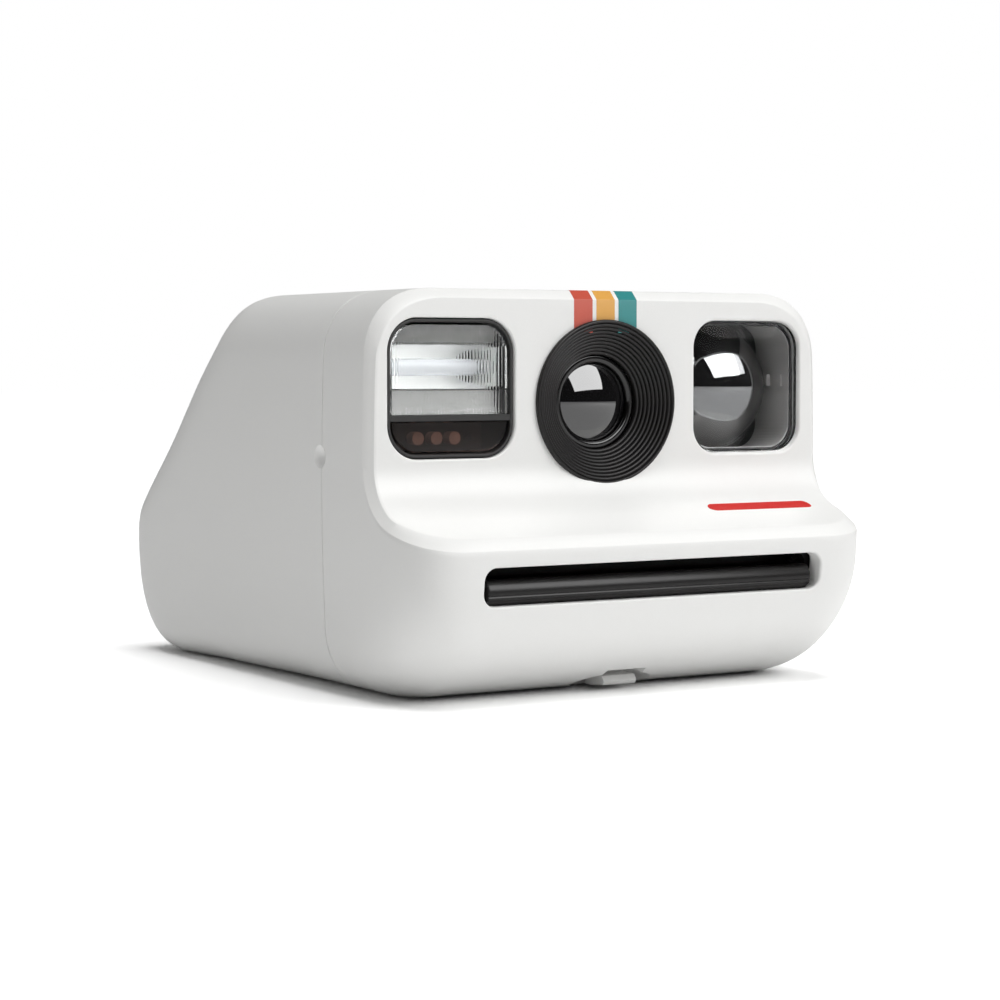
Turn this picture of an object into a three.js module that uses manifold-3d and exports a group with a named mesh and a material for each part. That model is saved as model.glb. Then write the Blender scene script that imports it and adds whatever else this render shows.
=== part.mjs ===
// Small-format instant camera, in millimetres.
// +X is to the right seen from the front, -Y is the way the lens looks, +Z is up.
// The origin is on the surface that the camera stands on, under the middle of its box.
import * as THREE from 'three';
import { mergeVertices } from 'three/addons/utils/BufferGeometryUtils.js';
import Module from 'manifold-3d';

const wasm = await Module();
wasm.setup();

// ---- driving dimensions -------------------------------------------------
const HALF_WIDTH = 41.95;      // widest half, at BELLY_Z
const BELLY_Z = 32;
const SIDE_BOW = 0.001;        // how fast the side walls lean in away from the belly
const HALF_DEPTH = 52.5;
const HEIGHT = 61.5;
const SLOPE_SUM = 77.2;        // the back slope is the plane y + z = SLOPE_SUM
const BASE_DIP = 0.15;         // the rounded hull is cut flat this far up, as the standing face
const CHIN_TOP = 24.6;
const CHIN_DRAFT = 0.012;      // how fast the chin front falls back below DRAFT_TOP
const DRAFT_TOP = 22.9;
const FACE_Y = -37.3;
const EDGE_CHAMFER = 1.4;
const WALL = 2;
const SEAM_Y = -23;
const SEAM_GAP = 0.3;
const GAP = 0.3;

const LENS_Z = 44.3;
const RING_RADIUS = 12.73;
const RING_SEAT = 12;
const RING_MOUTH = 11.6;
const RING_THROAT = 7.6;
const RING_PROUD = 0.7;
const WINDOW_X = 27.34;
const WINDOW_Z = 46.56;
const WINDOW_HALF_HEIGHT = 10.52;
const FLASH_HALF_WIDTH = 10.98;
const FINDER_HALF_WIDTH = 10.42;
const WINDOW_CORNER = 4.4;

const SLOT_HALF_WIDTH = 30.57;
const SLOT_LOW = 15.1;
const SLOT_HIGH = 20.8;
const SLOT_CORNER = 2;

const DOOR_HALF_WIDTH = 31;
const DOOR_FRONT = -35;
const DOOR_LIFT = 0.3;         // the door's skin sits this far above the standing face
const DOOR_SKIN = 2;

const ROLLER_Y = -41;
const NIP_Z = 15.9;
const ROLLER_RADIUS = 2.85;
const GEAR_MODULE = 0.5;
const ROLLER_TEETH = 12;
const IDLER_TEETH = 20;
const PINION_TEETH = 10;
const TRAIN_ANGLE = THREE.MathUtils.degToRad(25);
const GEAR_X = -34.6;
const GEAR_WIDTH = 2.6;

// ---- materials ----------------------------------------------------------
const finish = (color, roughness, metalness = 0) =>
  new THREE.MeshStandardMaterial({ color, roughness, metalness });
const FINISH = {
  shell: finish('#f1f1f0', 0.45),
  black: finish('#17171a', 0.5),
  dark: finish('#26262a', 0.65),
  glass: finish('#30343a', 0.05),
  smoked: finish('#231b19', 0.1),
  chrome: finish('#d8dadd', 0.15, 1),
  steel: finish('#a9adb2', 0.35, 1),
  mirror: finish('#e4e8ea', 0.05, 1),
  red: finish('#d8372b', 0.45),
  clay: finish('#c9543f', 0.5),
  sand: finish('#e3a94f', 0.5),
  teal: finish('#2b8c8c', 0.5),
  nylon: finish('#dcd8cc', 0.55),
  board: finish('#1f5a3c', 0.55),
  foil: finish('#6f7a86', 0.4),
  foam: finish('#202022', 0.95),
};

// ---- solids -------------------------------------------------------------
function solid(geometry) {
  const bare = geometry.clone();
  bare.deleteAttribute('normal');
  bare.deleteAttribute('uv');
  const merged = mergeVertices(bare, 1e-5);
  const mesh = new wasm.Mesh({
    numProp: 3,
    vertProperties: new Float32Array(merged.attributes.position.array),
    triVerts: new Uint32Array(merged.index.array),
  });
  return new wasm.Manifold(mesh);
}

function geometryOf(body) {
  const { vertProperties, triVerts } = body.getMesh();
  const geometry = new THREE.BufferGeometry();
  geometry.setAttribute('position', new THREE.BufferAttribute(new Float32Array(vertProperties), 3));
  geometry.setIndex(new THREE.BufferAttribute(new Uint32Array(triVerts), 1));
  geometry.computeVertexNormals();
  return geometry;
}

const camera = new THREE.Group();

function add(name, shape, material) {
  const geometry = shape.isBufferGeometry ? shape : geometryOf(shape);
  const mesh = new THREE.Mesh(geometry, material);
  mesh.name = name;
  camera.add(mesh);
  return mesh;
}

// ---- simple shapes placed in the camera's frame -------------------------
function block(x0, x1, y0, y1, z0, z1) {
  const geometry = new THREE.BoxGeometry(x1 - x0, y1 - y0, z1 - z0);
  return geometry.translate((x0 + x1) / 2, (y0 + y1) / 2, (z0 + z1) / 2);
}

// A shape drawn in (y, z) and drawn out along +X from x0 to x1.
function drawnAlongX(shape, x0, x1, curveSegments = 6) {
  const geometry = new THREE.ExtrudeGeometry(shape, { depth: x1 - x0, bevelEnabled: false, curveSegments });
  const turn = new THREE.Matrix4().set(0, 0, 1, x0, 1, 0, 0, 0, 0, 1, 0, 0, 0, 0, 0, 1);
  return geometry.applyMatrix4(turn);
}

// A shape drawn in (x, z) and drawn out along +Y from y0 to y1.
function drawnAlongY(shape, y0, y1, curveSegments = 6) {
  const geometry = new THREE.ExtrudeGeometry(shape, { depth: y1 - y0, bevelEnabled: false, curveSegments });
  const turn = new THREE.Matrix4().set(1, 0, 0, 0, 0, 0, -1, y1, 0, 1, 0, 0, 0, 0, 0, 1);
  return geometry.applyMatrix4(turn);
}

function drawnAlongZ(shape, z0, z1, curveSegments = 6) {
  const geometry = new THREE.ExtrudeGeometry(shape, { depth: z1 - z0, bevelEnabled: false, curveSegments });
  return geometry.translate(0, 0, z0);
}

function polygon(...points) {
  return new THREE.Shape(points.map(([u, v]) => new THREE.Vector2(u, v)));
}

function roundedRect(u, v, halfWidth, halfHeight, radius) {
  const shape = new THREE.Shape();
  shape.moveTo(u - halfWidth + radius, v - halfHeight);
  shape.absarc(u + halfWidth - radius, v - halfHeight + radius, radius, -Math.PI / 2, 0);
  shape.absarc(u + halfWidth - radius, v + halfHeight - radius, radius, 0, Math.PI / 2);
  shape.absarc(u - halfWidth + radius, v + halfHeight - radius, radius, Math.PI / 2, Math.PI);
  shape.absarc(u - halfWidth + radius, v - halfHeight + radius, radius, Math.PI, Math.PI * 1.5);
  return shape;
}

function rodX(radius, x0, x1, y, z, sides = 20) {
  const geometry = new THREE.CylinderGeometry(radius, radius, x1 - x0, sides);
  return geometry.rotateZ(-Math.PI / 2).translate((x0 + x1) / 2, y, z);
}

function rodY(radius, x, y0, y1, z, sides = 24) {
  const geometry = new THREE.CylinderGeometry(radius, radius, y1 - y0, sides);
  return geometry.translate(x, (y0 + y1) / 2, z);
}

function rodZ(radius, x, y, z0, z1, sides = 24) {
  const geometry = new THREE.CylinderGeometry(radius, radius, z1 - z0, sides);
  return geometry.rotateX(Math.PI / 2).translate(x, y, (z0 + z1) / 2);
}

// A turned part: points are [radius, y], from the axis and back to the axis, or a closed ring.
function turnedY(points, x, z, sides = 32) {
  const profile = points.map(([r, y]) => new THREE.Vector2(r, y));
  return new THREE.LatheGeometry(profile, sides).translate(x, 0, z);
}

// ---- the body's outer form ----------------------------------------------
// The hull is a smooth intersection of planes. smoothMax blends two signed distances
// over a length k, which rounds the edge between them.
const SHELF_ANGLE = THREE.MathUtils.degToRad(17);
const SWEEP_RADIUS = 8.5;
const BASE_REAR_BLEND = 14;
const BASE_FRONT_BLEND = 16;
const HULL_CENTRE = new THREE.Vector3(0, -5, 28);
const SEAM_LEAN = 0.45;        // where the skin's columns start to turn to the back

function smoothMax(a, b, k) {
  const h = Math.max(k - Math.abs(a - b), 0) / k;
  return Math.max(a, b) + h * h * k / 4;
}

// How wide the side edges are rounded: wider on top and under the front, narrower down the back.
function edgeBlend(y, z) {
  const nearBack = THREE.MathUtils.smoothstep(y, 20, 45) * (1 - THREE.MathUtils.smoothstep(z, 24, 40));
  const nearBase = (1 - THREE.MathUtils.smoothstep(y, -10, 20)) * (1 - THREE.MathUtils.smoothstep(z, 5, 20));
  const nearTop = THREE.MathUtils.smoothstep(z, 46, 58);
  return 9.5 - 2.5 * nearBack + 1.5 * nearBase + 1.5 * nearTop;
}

function hullLevel({ x, y, z }) {
  const side = Math.abs(x) - HALF_WIDTH + SIDE_BOW * (z - BELLY_Z) ** 2;
  const slope = (y + z - SLOPE_SUM) / Math.SQRT2;
  const base = -z - BASE_DIP;
  const rear = smoothMax(smoothMax(z - HEIGHT, slope, 3.6), y - HALF_DEPTH, 2.4);
  const front = -y - HALF_DEPTH + CHIN_DRAFT * Math.max(DRAFT_TOP - z, 0) ** 2;
  const rearAndBase = smoothMax(rear, base, BASE_REAR_BLEND);
  const frontAndBase = smoothMax(front, base, BASE_FRONT_BLEND);
  return smoothMax(side, Math.max(rearAndBase, frontAndBase), edgeBlend(y, z));
}

// The face seen from the side: straight down, a hollow sweep, then the shelf over the chin.
// s is the way along it from the top, and inset moves it into the body.
const SWEEP_TURN = Math.PI / 2 - SHELF_ANGLE;
const SWEEP_TANGENT = SWEEP_RADIUS * Math.tan(SWEEP_TURN / 2);
const SHELF_ROOT_Z = CHIN_TOP + (HALF_DEPTH + FACE_Y) * Math.tan(SHELF_ANGLE);
const SWEEP_TOP_Z = SHELF_ROOT_Z + SWEEP_TANGENT;
const FACE_STRAIGHT = HEIGHT - SWEEP_TOP_Z;

function facePoint(x, s, inset) {
  const arcLength = SWEEP_RADIUS * SWEEP_TURN;
  const turn = THREE.MathUtils.clamp((s - FACE_STRAIGHT) / SWEEP_RADIUS, 0, SWEEP_TURN);
  const reach = SWEEP_RADIUS + inset;
  const above = Math.min(s - FACE_STRAIGHT, 0);
  const beyond = Math.max(s - FACE_STRAIGHT - arcLength, 0);
  const y = FACE_Y - SWEEP_RADIUS + reach * Math.cos(turn) - beyond * Math.cos(SHELF_ANGLE);
  const z = SWEEP_TOP_Z - reach * Math.sin(turn) - above - beyond * Math.sin(SHELF_ANGLE);
  return new THREE.Vector3(x, y, z);
}

// The first place along pointAt(r) where the hull reaches the level, by halving.
function whereLevel(pointAt, level) {
  let low = 0;
  let high = 90;
  for (let step = 0; step < 30; step += 1) {
    const middle = (low + high) / 2;
    if (hullLevel(pointAt(middle)) < level) low = middle;
    else high = middle;
  }
  return (low + high) / 2;
}

const FACE_CENTRE_S = HEIGHT - LENS_Z;

function faceRay(angle, inset) {
  return (r) => facePoint(r * Math.cos(angle), FACE_CENTRE_S - r * Math.sin(angle), inset);
}

function hullRay(direction) {
  return (r) => HULL_CENTRE.clone().addScaledVector(direction, r);
}

function turnBetween(from, to, share) {
  const angle = from.angleTo(to);
  const a = Math.sin((1 - share) * angle) / Math.sin(angle);
  const b = Math.sin(share * angle) / Math.sin(angle);
  return from.clone().multiplyScalar(a).addScaledVector(to, b).normalize();
}

// One column of the skin, from the middle of the face out to its edge, over the chamfer,
// back to the seam and on to the middle of the back.
function skinColumn(angle, inset, rows) {
  const edge = whereLevel(faceRay(angle, inset), -EDGE_CHAMFER - inset);
  const column = [];
  for (let i = 1; i <= rows.face; i += 1) column.push(faceRay(angle, inset)(edge * i / rows.face));
  const backEdge = faceRay(angle, inset + EDGE_CHAMFER);
  const rim = backEdge(whereLevel(backEdge, -inset));
  column.push(rim);
  const start = rim.clone().sub(HULL_CENTRE).normalize();
  const spread = new THREE.Vector3(Math.cos(angle), -SEAM_LEAN, Math.sin(angle)).normalize();
  const back = new THREE.Vector3(0, 1, 0);
  const reach = (direction) => {
    const ray = hullRay(direction);
    return ray(whereLevel(ray, -inset));
  };
  for (let i = 1; i <= rows.chin; i += 1) column.push(reach(turnBetween(start, spread, i / rows.chin)));
  for (let i = 1; i < rows.rear; i += 1) column.push(reach(turnBetween(spread, back, i / rows.rear)));
  return column;
}

function bodyForm(inset, columns, rows) {
  const points = [facePoint(0, FACE_CENTRE_S, inset)];
  for (let c = 0; c < columns; c += 1) {
    // the columns crowd together where the outline turns its four corners
    const even = c / columns * 2 * Math.PI;
    points.push(...skinColumn(even + 0.12 * Math.sin(4 * even), inset, rows));
  }
  const perColumn = (points.length - 1) / columns;
  const backRay = hullRay(new THREE.Vector3(0, 1, 0));
  points.push(backRay(whereLevel(backRay, -inset)));
  const last = points.length - 1;
  const triangles = [];
  for (let c = 0; c < columns; c += 1) {
    const here = 1 + c * perColumn;
    const next = 1 + (c + 1) % columns * perColumn;
    triangles.push(0, here, next);
    for (let r = 0; r < perColumn - 1; r += 1) {
      triangles.push(here + r, here + r + 1, next + r);
      triangles.push(next + r, here + r + 1, next + r + 1);
    }
    triangles.push(last, next + perColumn - 1, here + perColumn - 1);
  }
  const geometry = new THREE.BufferGeometry().setFromPoints(points);
  geometry.setIndex(triangles);
  return geometry;
}

// ---- shells -------------------------------------------------------------
const SEAM_FRONT = SEAM_Y - SEAM_GAP / 2;
const SEAM_REAR = SEAM_Y + SEAM_GAP / 2;
const SHUTTER = { x: -26, y: -8, radius: 5.5 };
const FLASH_BUTTON = { x: -10, y: -8, radius: 2.4 };
const POWER_X = -24.6;
const POWER_RADIUS = 2.6;
const EYEPIECE_X = 29.5;
const EYEPIECE_Z = 46.5;
const USB = { y: 8, z: 22 };
const HINGE = { y: 36.6, z: 1.6, knuckle: 1.3, pin: 0.6, bore: 0.9 };
const STRAP_DISH = { y: -22.5, z: 36.2, radius: 2.6, reach: 43.8 };
const BAND_WIDTH = 3.4;
const BAND_PITCH = 4.1;
const BAND_BOTTOM = 56.5;
const BAND_REAR = -24;
const BAND_DEPTH = 0.35;

// Places a shape drawn with u towards -X, v up the back slope and w out of it.
function onSlope(geometry, x, z) {
  const half = Math.SQRT1_2;
  const turn = new THREE.Matrix4().set(
    -1, 0, 0, x,
    0, -half, half, SLOPE_SUM - z,
    0, half, half, z,
    0, 0, 0, 1,
  );
  return geometry.applyMatrix4(turn);
}

// A band over the face's top edge: up the face, across the chamfer and back along the top.
function bandOutline(depth, slack) {
  const face = FACE_Y - 0.02;
  const top = HEIGHT + 0.02;
  return polygon(
    [face - slack, BAND_BOTTOM - slack],
    [face + depth, BAND_BOTTOM - slack],
    [face + depth, HEIGHT - EDGE_CHAMFER - depth * 0.41],
    [FACE_Y + EDGE_CHAMFER + depth * 0.41, HEIGHT - depth],
    [BAND_REAR + slack, HEIGHT - depth],
    [BAND_REAR + slack, top + slack],
    [FACE_Y + EDGE_CHAMFER, top + slack],
    [face - slack, HEIGHT - EDGE_CHAMFER],
  );
}

function bandSpan(index) {
  const middle = (index - 1) * BAND_PITCH;
  return [middle - BAND_WIDTH / 2, middle + BAND_WIDTH / 2];
}

const DASH = { x: 26, s: 36, halfLength: 10, halfWidth: 1.2, depth: 0.4 };

function dashShape(slack, depth) {
  const outline = roundedRect(0, 0, DASH.halfLength + slack, DASH.halfWidth + slack, DASH.halfWidth + slack);
  const place = facePoint(DASH.x, DASH.s, 0);
  const geometry = new THREE.ExtrudeGeometry(outline, { depth, bevelEnabled: false, curveSegments: 4 });
  geometry.translate(0, 0, -depth + slack);
  const turn = THREE.MathUtils.clamp((DASH.s - FACE_STRAIGHT) / SWEEP_RADIUS, 0, SWEEP_TURN);
  geometry.rotateX(Math.PI / 2 - turn);
  return geometry.translate(place.x, place.y, place.z);
}

function windowOutline(x, halfWidth) {
  return roundedRect(x, WINDOW_Z, halfWidth, WINDOW_HALF_HEIGHT, WINDOW_CORNER);
}

function shellOpenings() {
  const cuts = [
    drawnAlongY(windowOutline(-WINDOW_X, FLASH_HALF_WIDTH), -40, -26.7),
    drawnAlongY(windowOutline(WINDOW_X, FINDER_HALF_WIDTH), -40, -26),
    rodY(RING_SEAT + 0.3, 0, -40, -34, LENS_Z, 36),
    rodY(RING_RADIUS + 0.2, 0, -42, FACE_Y, LENS_Z, 32),
    drawnAlongY(
      roundedRect(0, (SLOT_LOW + SLOT_HIGH) / 2, SLOT_HALF_WIDTH, (SLOT_HIGH - SLOT_LOW) / 2, SLOT_CORNER),
      -54, -46),
    rodZ(SHUTTER.radius + 0.2, SHUTTER.x, SHUTTER.y, 58, 63),
    rodZ(FLASH_BUTTON.radius + 0.2, FLASH_BUTTON.x, FLASH_BUTTON.y, 58, 63, 16),
    onSlope(drawnAlongZ(roundedRect(0, 0, 6.75, 6.15, 2), -4, 3), EYEPIECE_X, EYEPIECE_Z),
    onSlope(drawnAlongZ(roundedRect(0, 0, 5.15, 2.65, 1), -4, 3), 0, EYEPIECE_Z),
    onSlope(rodZ(POWER_RADIUS + 0.2, 0, 0, -4, 3, 16), POWER_X, EYEPIECE_Z),
    drawnAlongX(roundedRect(USB.y, USB.z, 4.8, 1.9, 1.7), 38, 44),
    block(-DOOR_HALF_WIDTH, DOOR_HALF_WIDTH, DOOR_FRONT, HINGE.y + HINGE.knuckle + GAP, -1, 3.2),
    rodX(HINGE.pin + 0.1, -33.5, 33.5, HINGE.y, HINGE.z, 12),
    block(-3.6, 3.6, -43.5, DOOR_FRONT + 0.1, -1, 3.8),
    new THREE.SphereGeometry(1, 20, 10).scale(7.5, 6, 3).translate(0, -39.5, 0.3),
    dashShape(0.06, DASH.depth),
  ];
  for (const side of [-1, 1]) {
    const dish = new THREE.SphereGeometry(STRAP_DISH.radius, 20, 10);
    cuts.push(dish.translate(side * STRAP_DISH.reach, STRAP_DISH.y, STRAP_DISH.z));
  }
  for (let i = 0; i < 3; i += 1) {
    const [low, high] = bandSpan(i);
    cuts.push(drawnAlongX(bandOutline(BAND_DEPTH, 0.05), low - 0.05, high + 0.05));
  }
  return cuts;
}

const standing = solid(block(-60, 60, -60, 60, 0, 80));
const outerForm = solid(bodyForm(0, 56, { face: 8, chin: 6, rear: 12 })).intersect(standing);
const innerForm = solid(bodyForm(WALL, 36, { face: 6, chin: 4, rear: 8 }));

function addShells() {
  const latchPad = outerForm.intersect(solid(block(-9.5, 9.5, -46, DOOR_FRONT, 0, 5.2)));
  let skin = outerForm.subtract(innerForm).add(latchPad);
  for (const cut of shellOpenings()) skin = skin.subtract(solid(cut));
  add('front_shell', skin.intersect(solid(block(-60, 60, -60, SEAM_FRONT, -1, 80))), FINISH.shell);
  add('rear_shell', skin.intersect(solid(block(-60, 60, SEAM_REAR, 60, -1, 80))), FINISH.shell);
}

// ---- marks on the shell -------------------------------------------------
function addMarks() {
  const bands = [['stripe_clay', FINISH.clay], ['stripe_sand', FINISH.sand], ['stripe_teal', FINISH.teal]];
  bands.forEach(([name, material], index) => {
    const [low, high] = bandSpan(index);
    add(name, drawnAlongX(bandOutline(BAND_DEPTH - 0.05, 0), low, high), material);
  });
  add('shelf_dash', dashShape(0, DASH.depth - 0.08), FINISH.red);
}

// ---- film door ----------------------------------------------------------
function addDoor() {
  const half = DOOR_HALF_WIDTH - GAP;
  const skin = block(-half, half, DOOR_FRONT + GAP, HINGE.y, DOOR_LIFT, DOOR_LIFT + DOOR_SKIN);
  const knuckle = rodX(HINGE.knuckle, -half, half, HINGE.y, HINGE.z, 16);
  const bore = rodX(HINGE.bore, -half - 1, half + 1, HINGE.y, HINGE.z, 16);
  const door = outerForm.intersect(solid(skin)).add(solid(knuckle)).subtract(solid(bore));
  add('film_door', door, FINISH.shell);
  add('door_hinge_pin', rodX(HINGE.pin, -33.2, 33.2, HINGE.y, HINGE.z, 12), FINISH.steel);
  const seal = solid(block(-29.8, 29.8, -30, 34, 2.45, 3.1));
  add('door_light_seal', seal.subtract(solid(block(-28.2, 28.2, -28.4, 32.4, 2, 4))), FINISH.foam);
  const latch = polygon(
    [-41.6, 1.4], [-41.2, 0.9], [-38, 0.6], [-36.4, 0.6], [-36.4, 2.6],
    [-31.7, 2.6], [-31.7, 3.2], [-37.6, 3.2], [-38.2, 2.4], [-41, 2.3],
  );
  add('door_latch', drawnAlongX(latch, -3, 3), FINISH.shell);
}

// ---- lens and shutter ---------------------------------------------------
const SHUTTER_PIVOT = { x: 3, z: 50.5 };

function addLens() {
  const front = FACE_Y - RING_PROUD;
  const back = front + 4;
  const steps = 6;
  const rise = 3.1 / steps;
  const ring = [[RING_SEAT, back], [RING_THROAT, back], [RING_THROAT, front + 3.4]];
  for (let i = 0; i < steps; i += 1) {
    const radius = RING_THROAT + (i + 1) * (RING_MOUTH - RING_THROAT) / steps;
    const depth = front + 3.4 - (i + 1) * rise;
    ring.push([radius, depth + rise], [radius, depth]);
  }
  ring.push([12.3, front], [RING_RADIUS, front + 0.3], [RING_RADIUS, FACE_Y - 0.05]);
  ring.push([RING_SEAT, FACE_Y - 0.05], [RING_SEAT, back]);
  add('lens_ring', turnedY(ring, 0, LENS_Z, 32), FINISH.black);
  const barrel = [[7.3, -34.9], [7.3, -24], [6.2, -24], [6.2, -34.9], [7.3, -34.9]];
  add('lens_barrel', turnedY(barrel, 0, LENS_Z, 32), FINISH.black);
  const dome = [[0, -34.8], [2, -34.55], [4, -33.8], [5.9, -32.5], [5.9, -31], [0, -31]];
  add('front_lens', turnedY(dome, 0, LENS_Z, 32), FINISH.glass);
  const rear = [[0, -27], [5.9, -27], [5.9, -25.8], [4, -24.9], [2, -24.4], [0, -24.3]];
  add('rear_lens', turnedY(rear, 0, LENS_Z, 32), FINISH.glass);
}

function addShutter() {
  const box = solid(block(-13, 15.5, -23.6, -15.4, 34, 55.5));
  const cavity = solid(block(-11.5, 20, -22.1, -16.9, 35.5, 54));
  const light = solid(rodY(3.8, 0, -25, -14, LENS_Z));
  const post = solid(rodY(0.8, SHUTTER_PIVOT.x, -22.6, -16.4, SHUTTER_PIVOT.z, 12));
  add('shutter_housing', box.subtract(cavity).subtract(light).add(post), FINISH.dark);
  const disc = solid(rodY(4.4, 0, -19.9, -19.3, LENS_Z));
  const hub = solid(rodY(1.9, SHUTTER_PIVOT.x, -19.9, -19.3, SHUTTER_PIVOT.z, 16));
  const neck = polygon([-1.6, 47], [1.8, 51.6], [4.2, 49.2], [2.6, 45]);
  const hole = solid(rodY(1.1, SHUTTER_PIVOT.x, -21, -18, SHUTTER_PIVOT.z, 12));
  const blade = disc.add(hub).add(solid(drawnAlongY(neck, -19.9, -19.3))).subtract(hole);
  add('shutter_blade', blade, FINISH.steel);
}

// ---- flash and light sensors --------------------------------------------
const FLASH_TUBE = { y: -31, z: 49.7, radius: 1.3 };
const SENSOR_Z = 39.1;

function addFlash() {
  const rim = roundedRect(-WINDOW_X, WINDOW_Z, FLASH_HALF_WIDTH - 0.15, WINDOW_HALF_HEIGHT - 0.15, 4.25);
  const hollow = roundedRect(-WINDOW_X, WINDOW_Z, FLASH_HALF_WIDTH - 0.95, WINDOW_HALF_HEIGHT - 0.95, 3.5);
  const bar = solid(block(-37.6, -17.1, -36.8, -34, 41.7, 42.6));
  const tray = solid(drawnAlongY(rim, -36.9, -27)).subtract(solid(drawnAlongY(hollow, -38, -28))).add(bar);
  add('flash_bezel', tray, FINISH.black);
  const clear = solid(drawnAlongY(
    roundedRect(-WINDOW_X, WINDOW_Z, FLASH_HALF_WIDTH - 1.05, WINDOW_HALF_HEIGHT - 1.05, 3.4), -36.7, -35.5));
  add('flash_window', clear.intersect(solid(block(-40, -15, -40, -30, 42.7, 60))), FINISH.glass);
  const smoked = clear.intersect(solid(block(-40, -15, -40, -30, 30, 41.6)));
  add('sensor_window', smoked, FINISH.smoked);
  const bowl = new THREE.Shape();
  bowl.moveTo(-35.1, 54.4);
  bowl.quadraticCurveTo(-22.4, 49.7, -35.1, 45);
  bowl.lineTo(-35.1, 45.6);
  bowl.quadraticCurveTo(-23.4, 49.7, -35.1, 53.8);
  add('flash_reflector', drawnAlongX(bowl, -36.6, -18.2, 10), FINISH.chrome);
  add('flash_tube', rodX(FLASH_TUBE.radius, -35.8, -19, FLASH_TUBE.y - 1, FLASH_TUBE.z, 16), FINISH.glass);
  for (const [name, x] of [['flash_electrode_left', -36.5], ['flash_electrode_right', -18.9]]) {
    add(name, rodX(1, x, x + 0.6, FLASH_TUBE.y - 1, FLASH_TUBE.z, 12), FINISH.steel);
  }
  const strip = solid(block(-35, -20, -33, -32.2, 37.3, 41.3));
  const statusLight = solid(rodY(0.4, -22.6, -35, -32.8, SENSOR_Z, 8));
  add('sensor_board', strip.add(statusLight), FINISH.board);
  const sensors = [['light_sensor', -32.1], ['distance_sensor', -28.9], ['flash_sensor', -25.8]];
  for (const [name, x] of sensors) add(name, rodY(1, x, -35, -33.1, SENSOR_Z, 16), FINISH.glass);
}

// ---- viewfinder ---------------------------------------------------------
function addViewfinder() {
  const pane = roundedRect(WINDOW_X, WINDOW_Z, FINDER_HALF_WIDTH - 0.15, WINDOW_HALF_HEIGHT - 0.15, 4.25);
  add('viewfinder_window', drawnAlongY(pane, -36.9, -35.7), FINISH.glass);
  const hood = solid(drawnAlongY(roundedRect(WINDOW_X, WINDOW_Z, 10.1, 10.1, 4), -35.4, -20));
  const duct = polygon([-21, 40.3], [29.5, 40.3], [17, 52.8], [-21, 52.8]);
  const hoodInside = solid(drawnAlongY(roundedRect(WINDOW_X, WINDOW_Z, 9.1, 9.1, 3.4), -36, -21.4));
  const ductInside = solid(block(24.2, 34.8, -25, 40, 41.3, 51.8));
  const tunnel = hood.add(solid(drawnAlongX(duct, 23.2, 35.8))).subtract(hoodInside).subtract(ductInside);
  add('viewfinder_tunnel', tunnel, FINISH.dark);
  const lens = roundedRect(WINDOW_X, WINDOW_Z, 8.9, 8.9, 3.2);
  add('viewfinder_lens', drawnAlongY(lens, -33.5, -31.5), FINISH.glass);
  add('eyepiece_lens', rodY(5, EYEPIECE_X, 14, 16.5, EYEPIECE_Z, 24), FINISH.glass);
  const frame = solid(drawnAlongZ(roundedRect(0, 0, 6.6, 6, 1.9), -2.3, 0.1));
  const sight = solid(drawnAlongZ(roundedRect(0, 0, 4.4, 3.9, 1.4), -3, 1));
  add('eyepiece_frame', onSlope(geometryOf(frame.subtract(sight)), EYEPIECE_X, EYEPIECE_Z), FINISH.black);
}

// ---- buttons, counter and socket ----------------------------------------
function addControls() {
  const cap = solid(rodZ(SHUTTER.radius, SHUTTER.x, SHUTTER.y, 58.4, HEIGHT - 0.2, 28));
  const flange = solid(rodZ(6.1, SHUTTER.x, SHUTTER.y, 58.1, 58.8, 28));
  add('shutter_button', cap.add(flange), FINISH.red);
  const stem = solid(rodZ(FLASH_BUTTON.radius, FLASH_BUTTON.x, FLASH_BUTTON.y, 58.8, HEIGHT - 0.2, 16));
  const foot = solid(rodZ(3.1, FLASH_BUTTON.x, FLASH_BUTTON.y, 58.2, 59, 16));
  add('flash_button', stem.add(foot), FINISH.shell);
  const power = solid(rodZ(POWER_RADIUS, 0, 0, -3, 0, 16)).add(solid(rodZ(3.1, 0, 0, -3.2, -2.5, 16)));
  add('power_button', onSlope(geometryOf(power), POWER_X, EYEPIECE_Z), FINISH.shell);
  const counter = drawnAlongZ(roundedRect(0, 0, 5, 2.5, 0.9), -1.4, -0.05);
  add('counter_window', onSlope(counter, 0, EYEPIECE_Z), FINISH.smoked);
  add('counter_display', onSlope(block(-4.6, 4.6, -2.2, 2.2, -2.6, -1.7), 0, EYEPIECE_Z), FINISH.board);
  const socket = solid(drawnAlongX(roundedRect(USB.y, USB.z, 4.5, 1.6, 1.4), 34.5, 41.2));
  const mouth = solid(drawnAlongX(roundedRect(USB.y, USB.z, 4.1, 1.2, 1.1), 35.5, 42));
  const tongue = solid(block(35, 40.4, USB.y - 3.2, USB.y + 3.2, USB.z - 0.3, USB.z + 0.3));
  add('usb_socket', socket.subtract(mouth).add(tongue), FINISH.steel);
}

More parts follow.
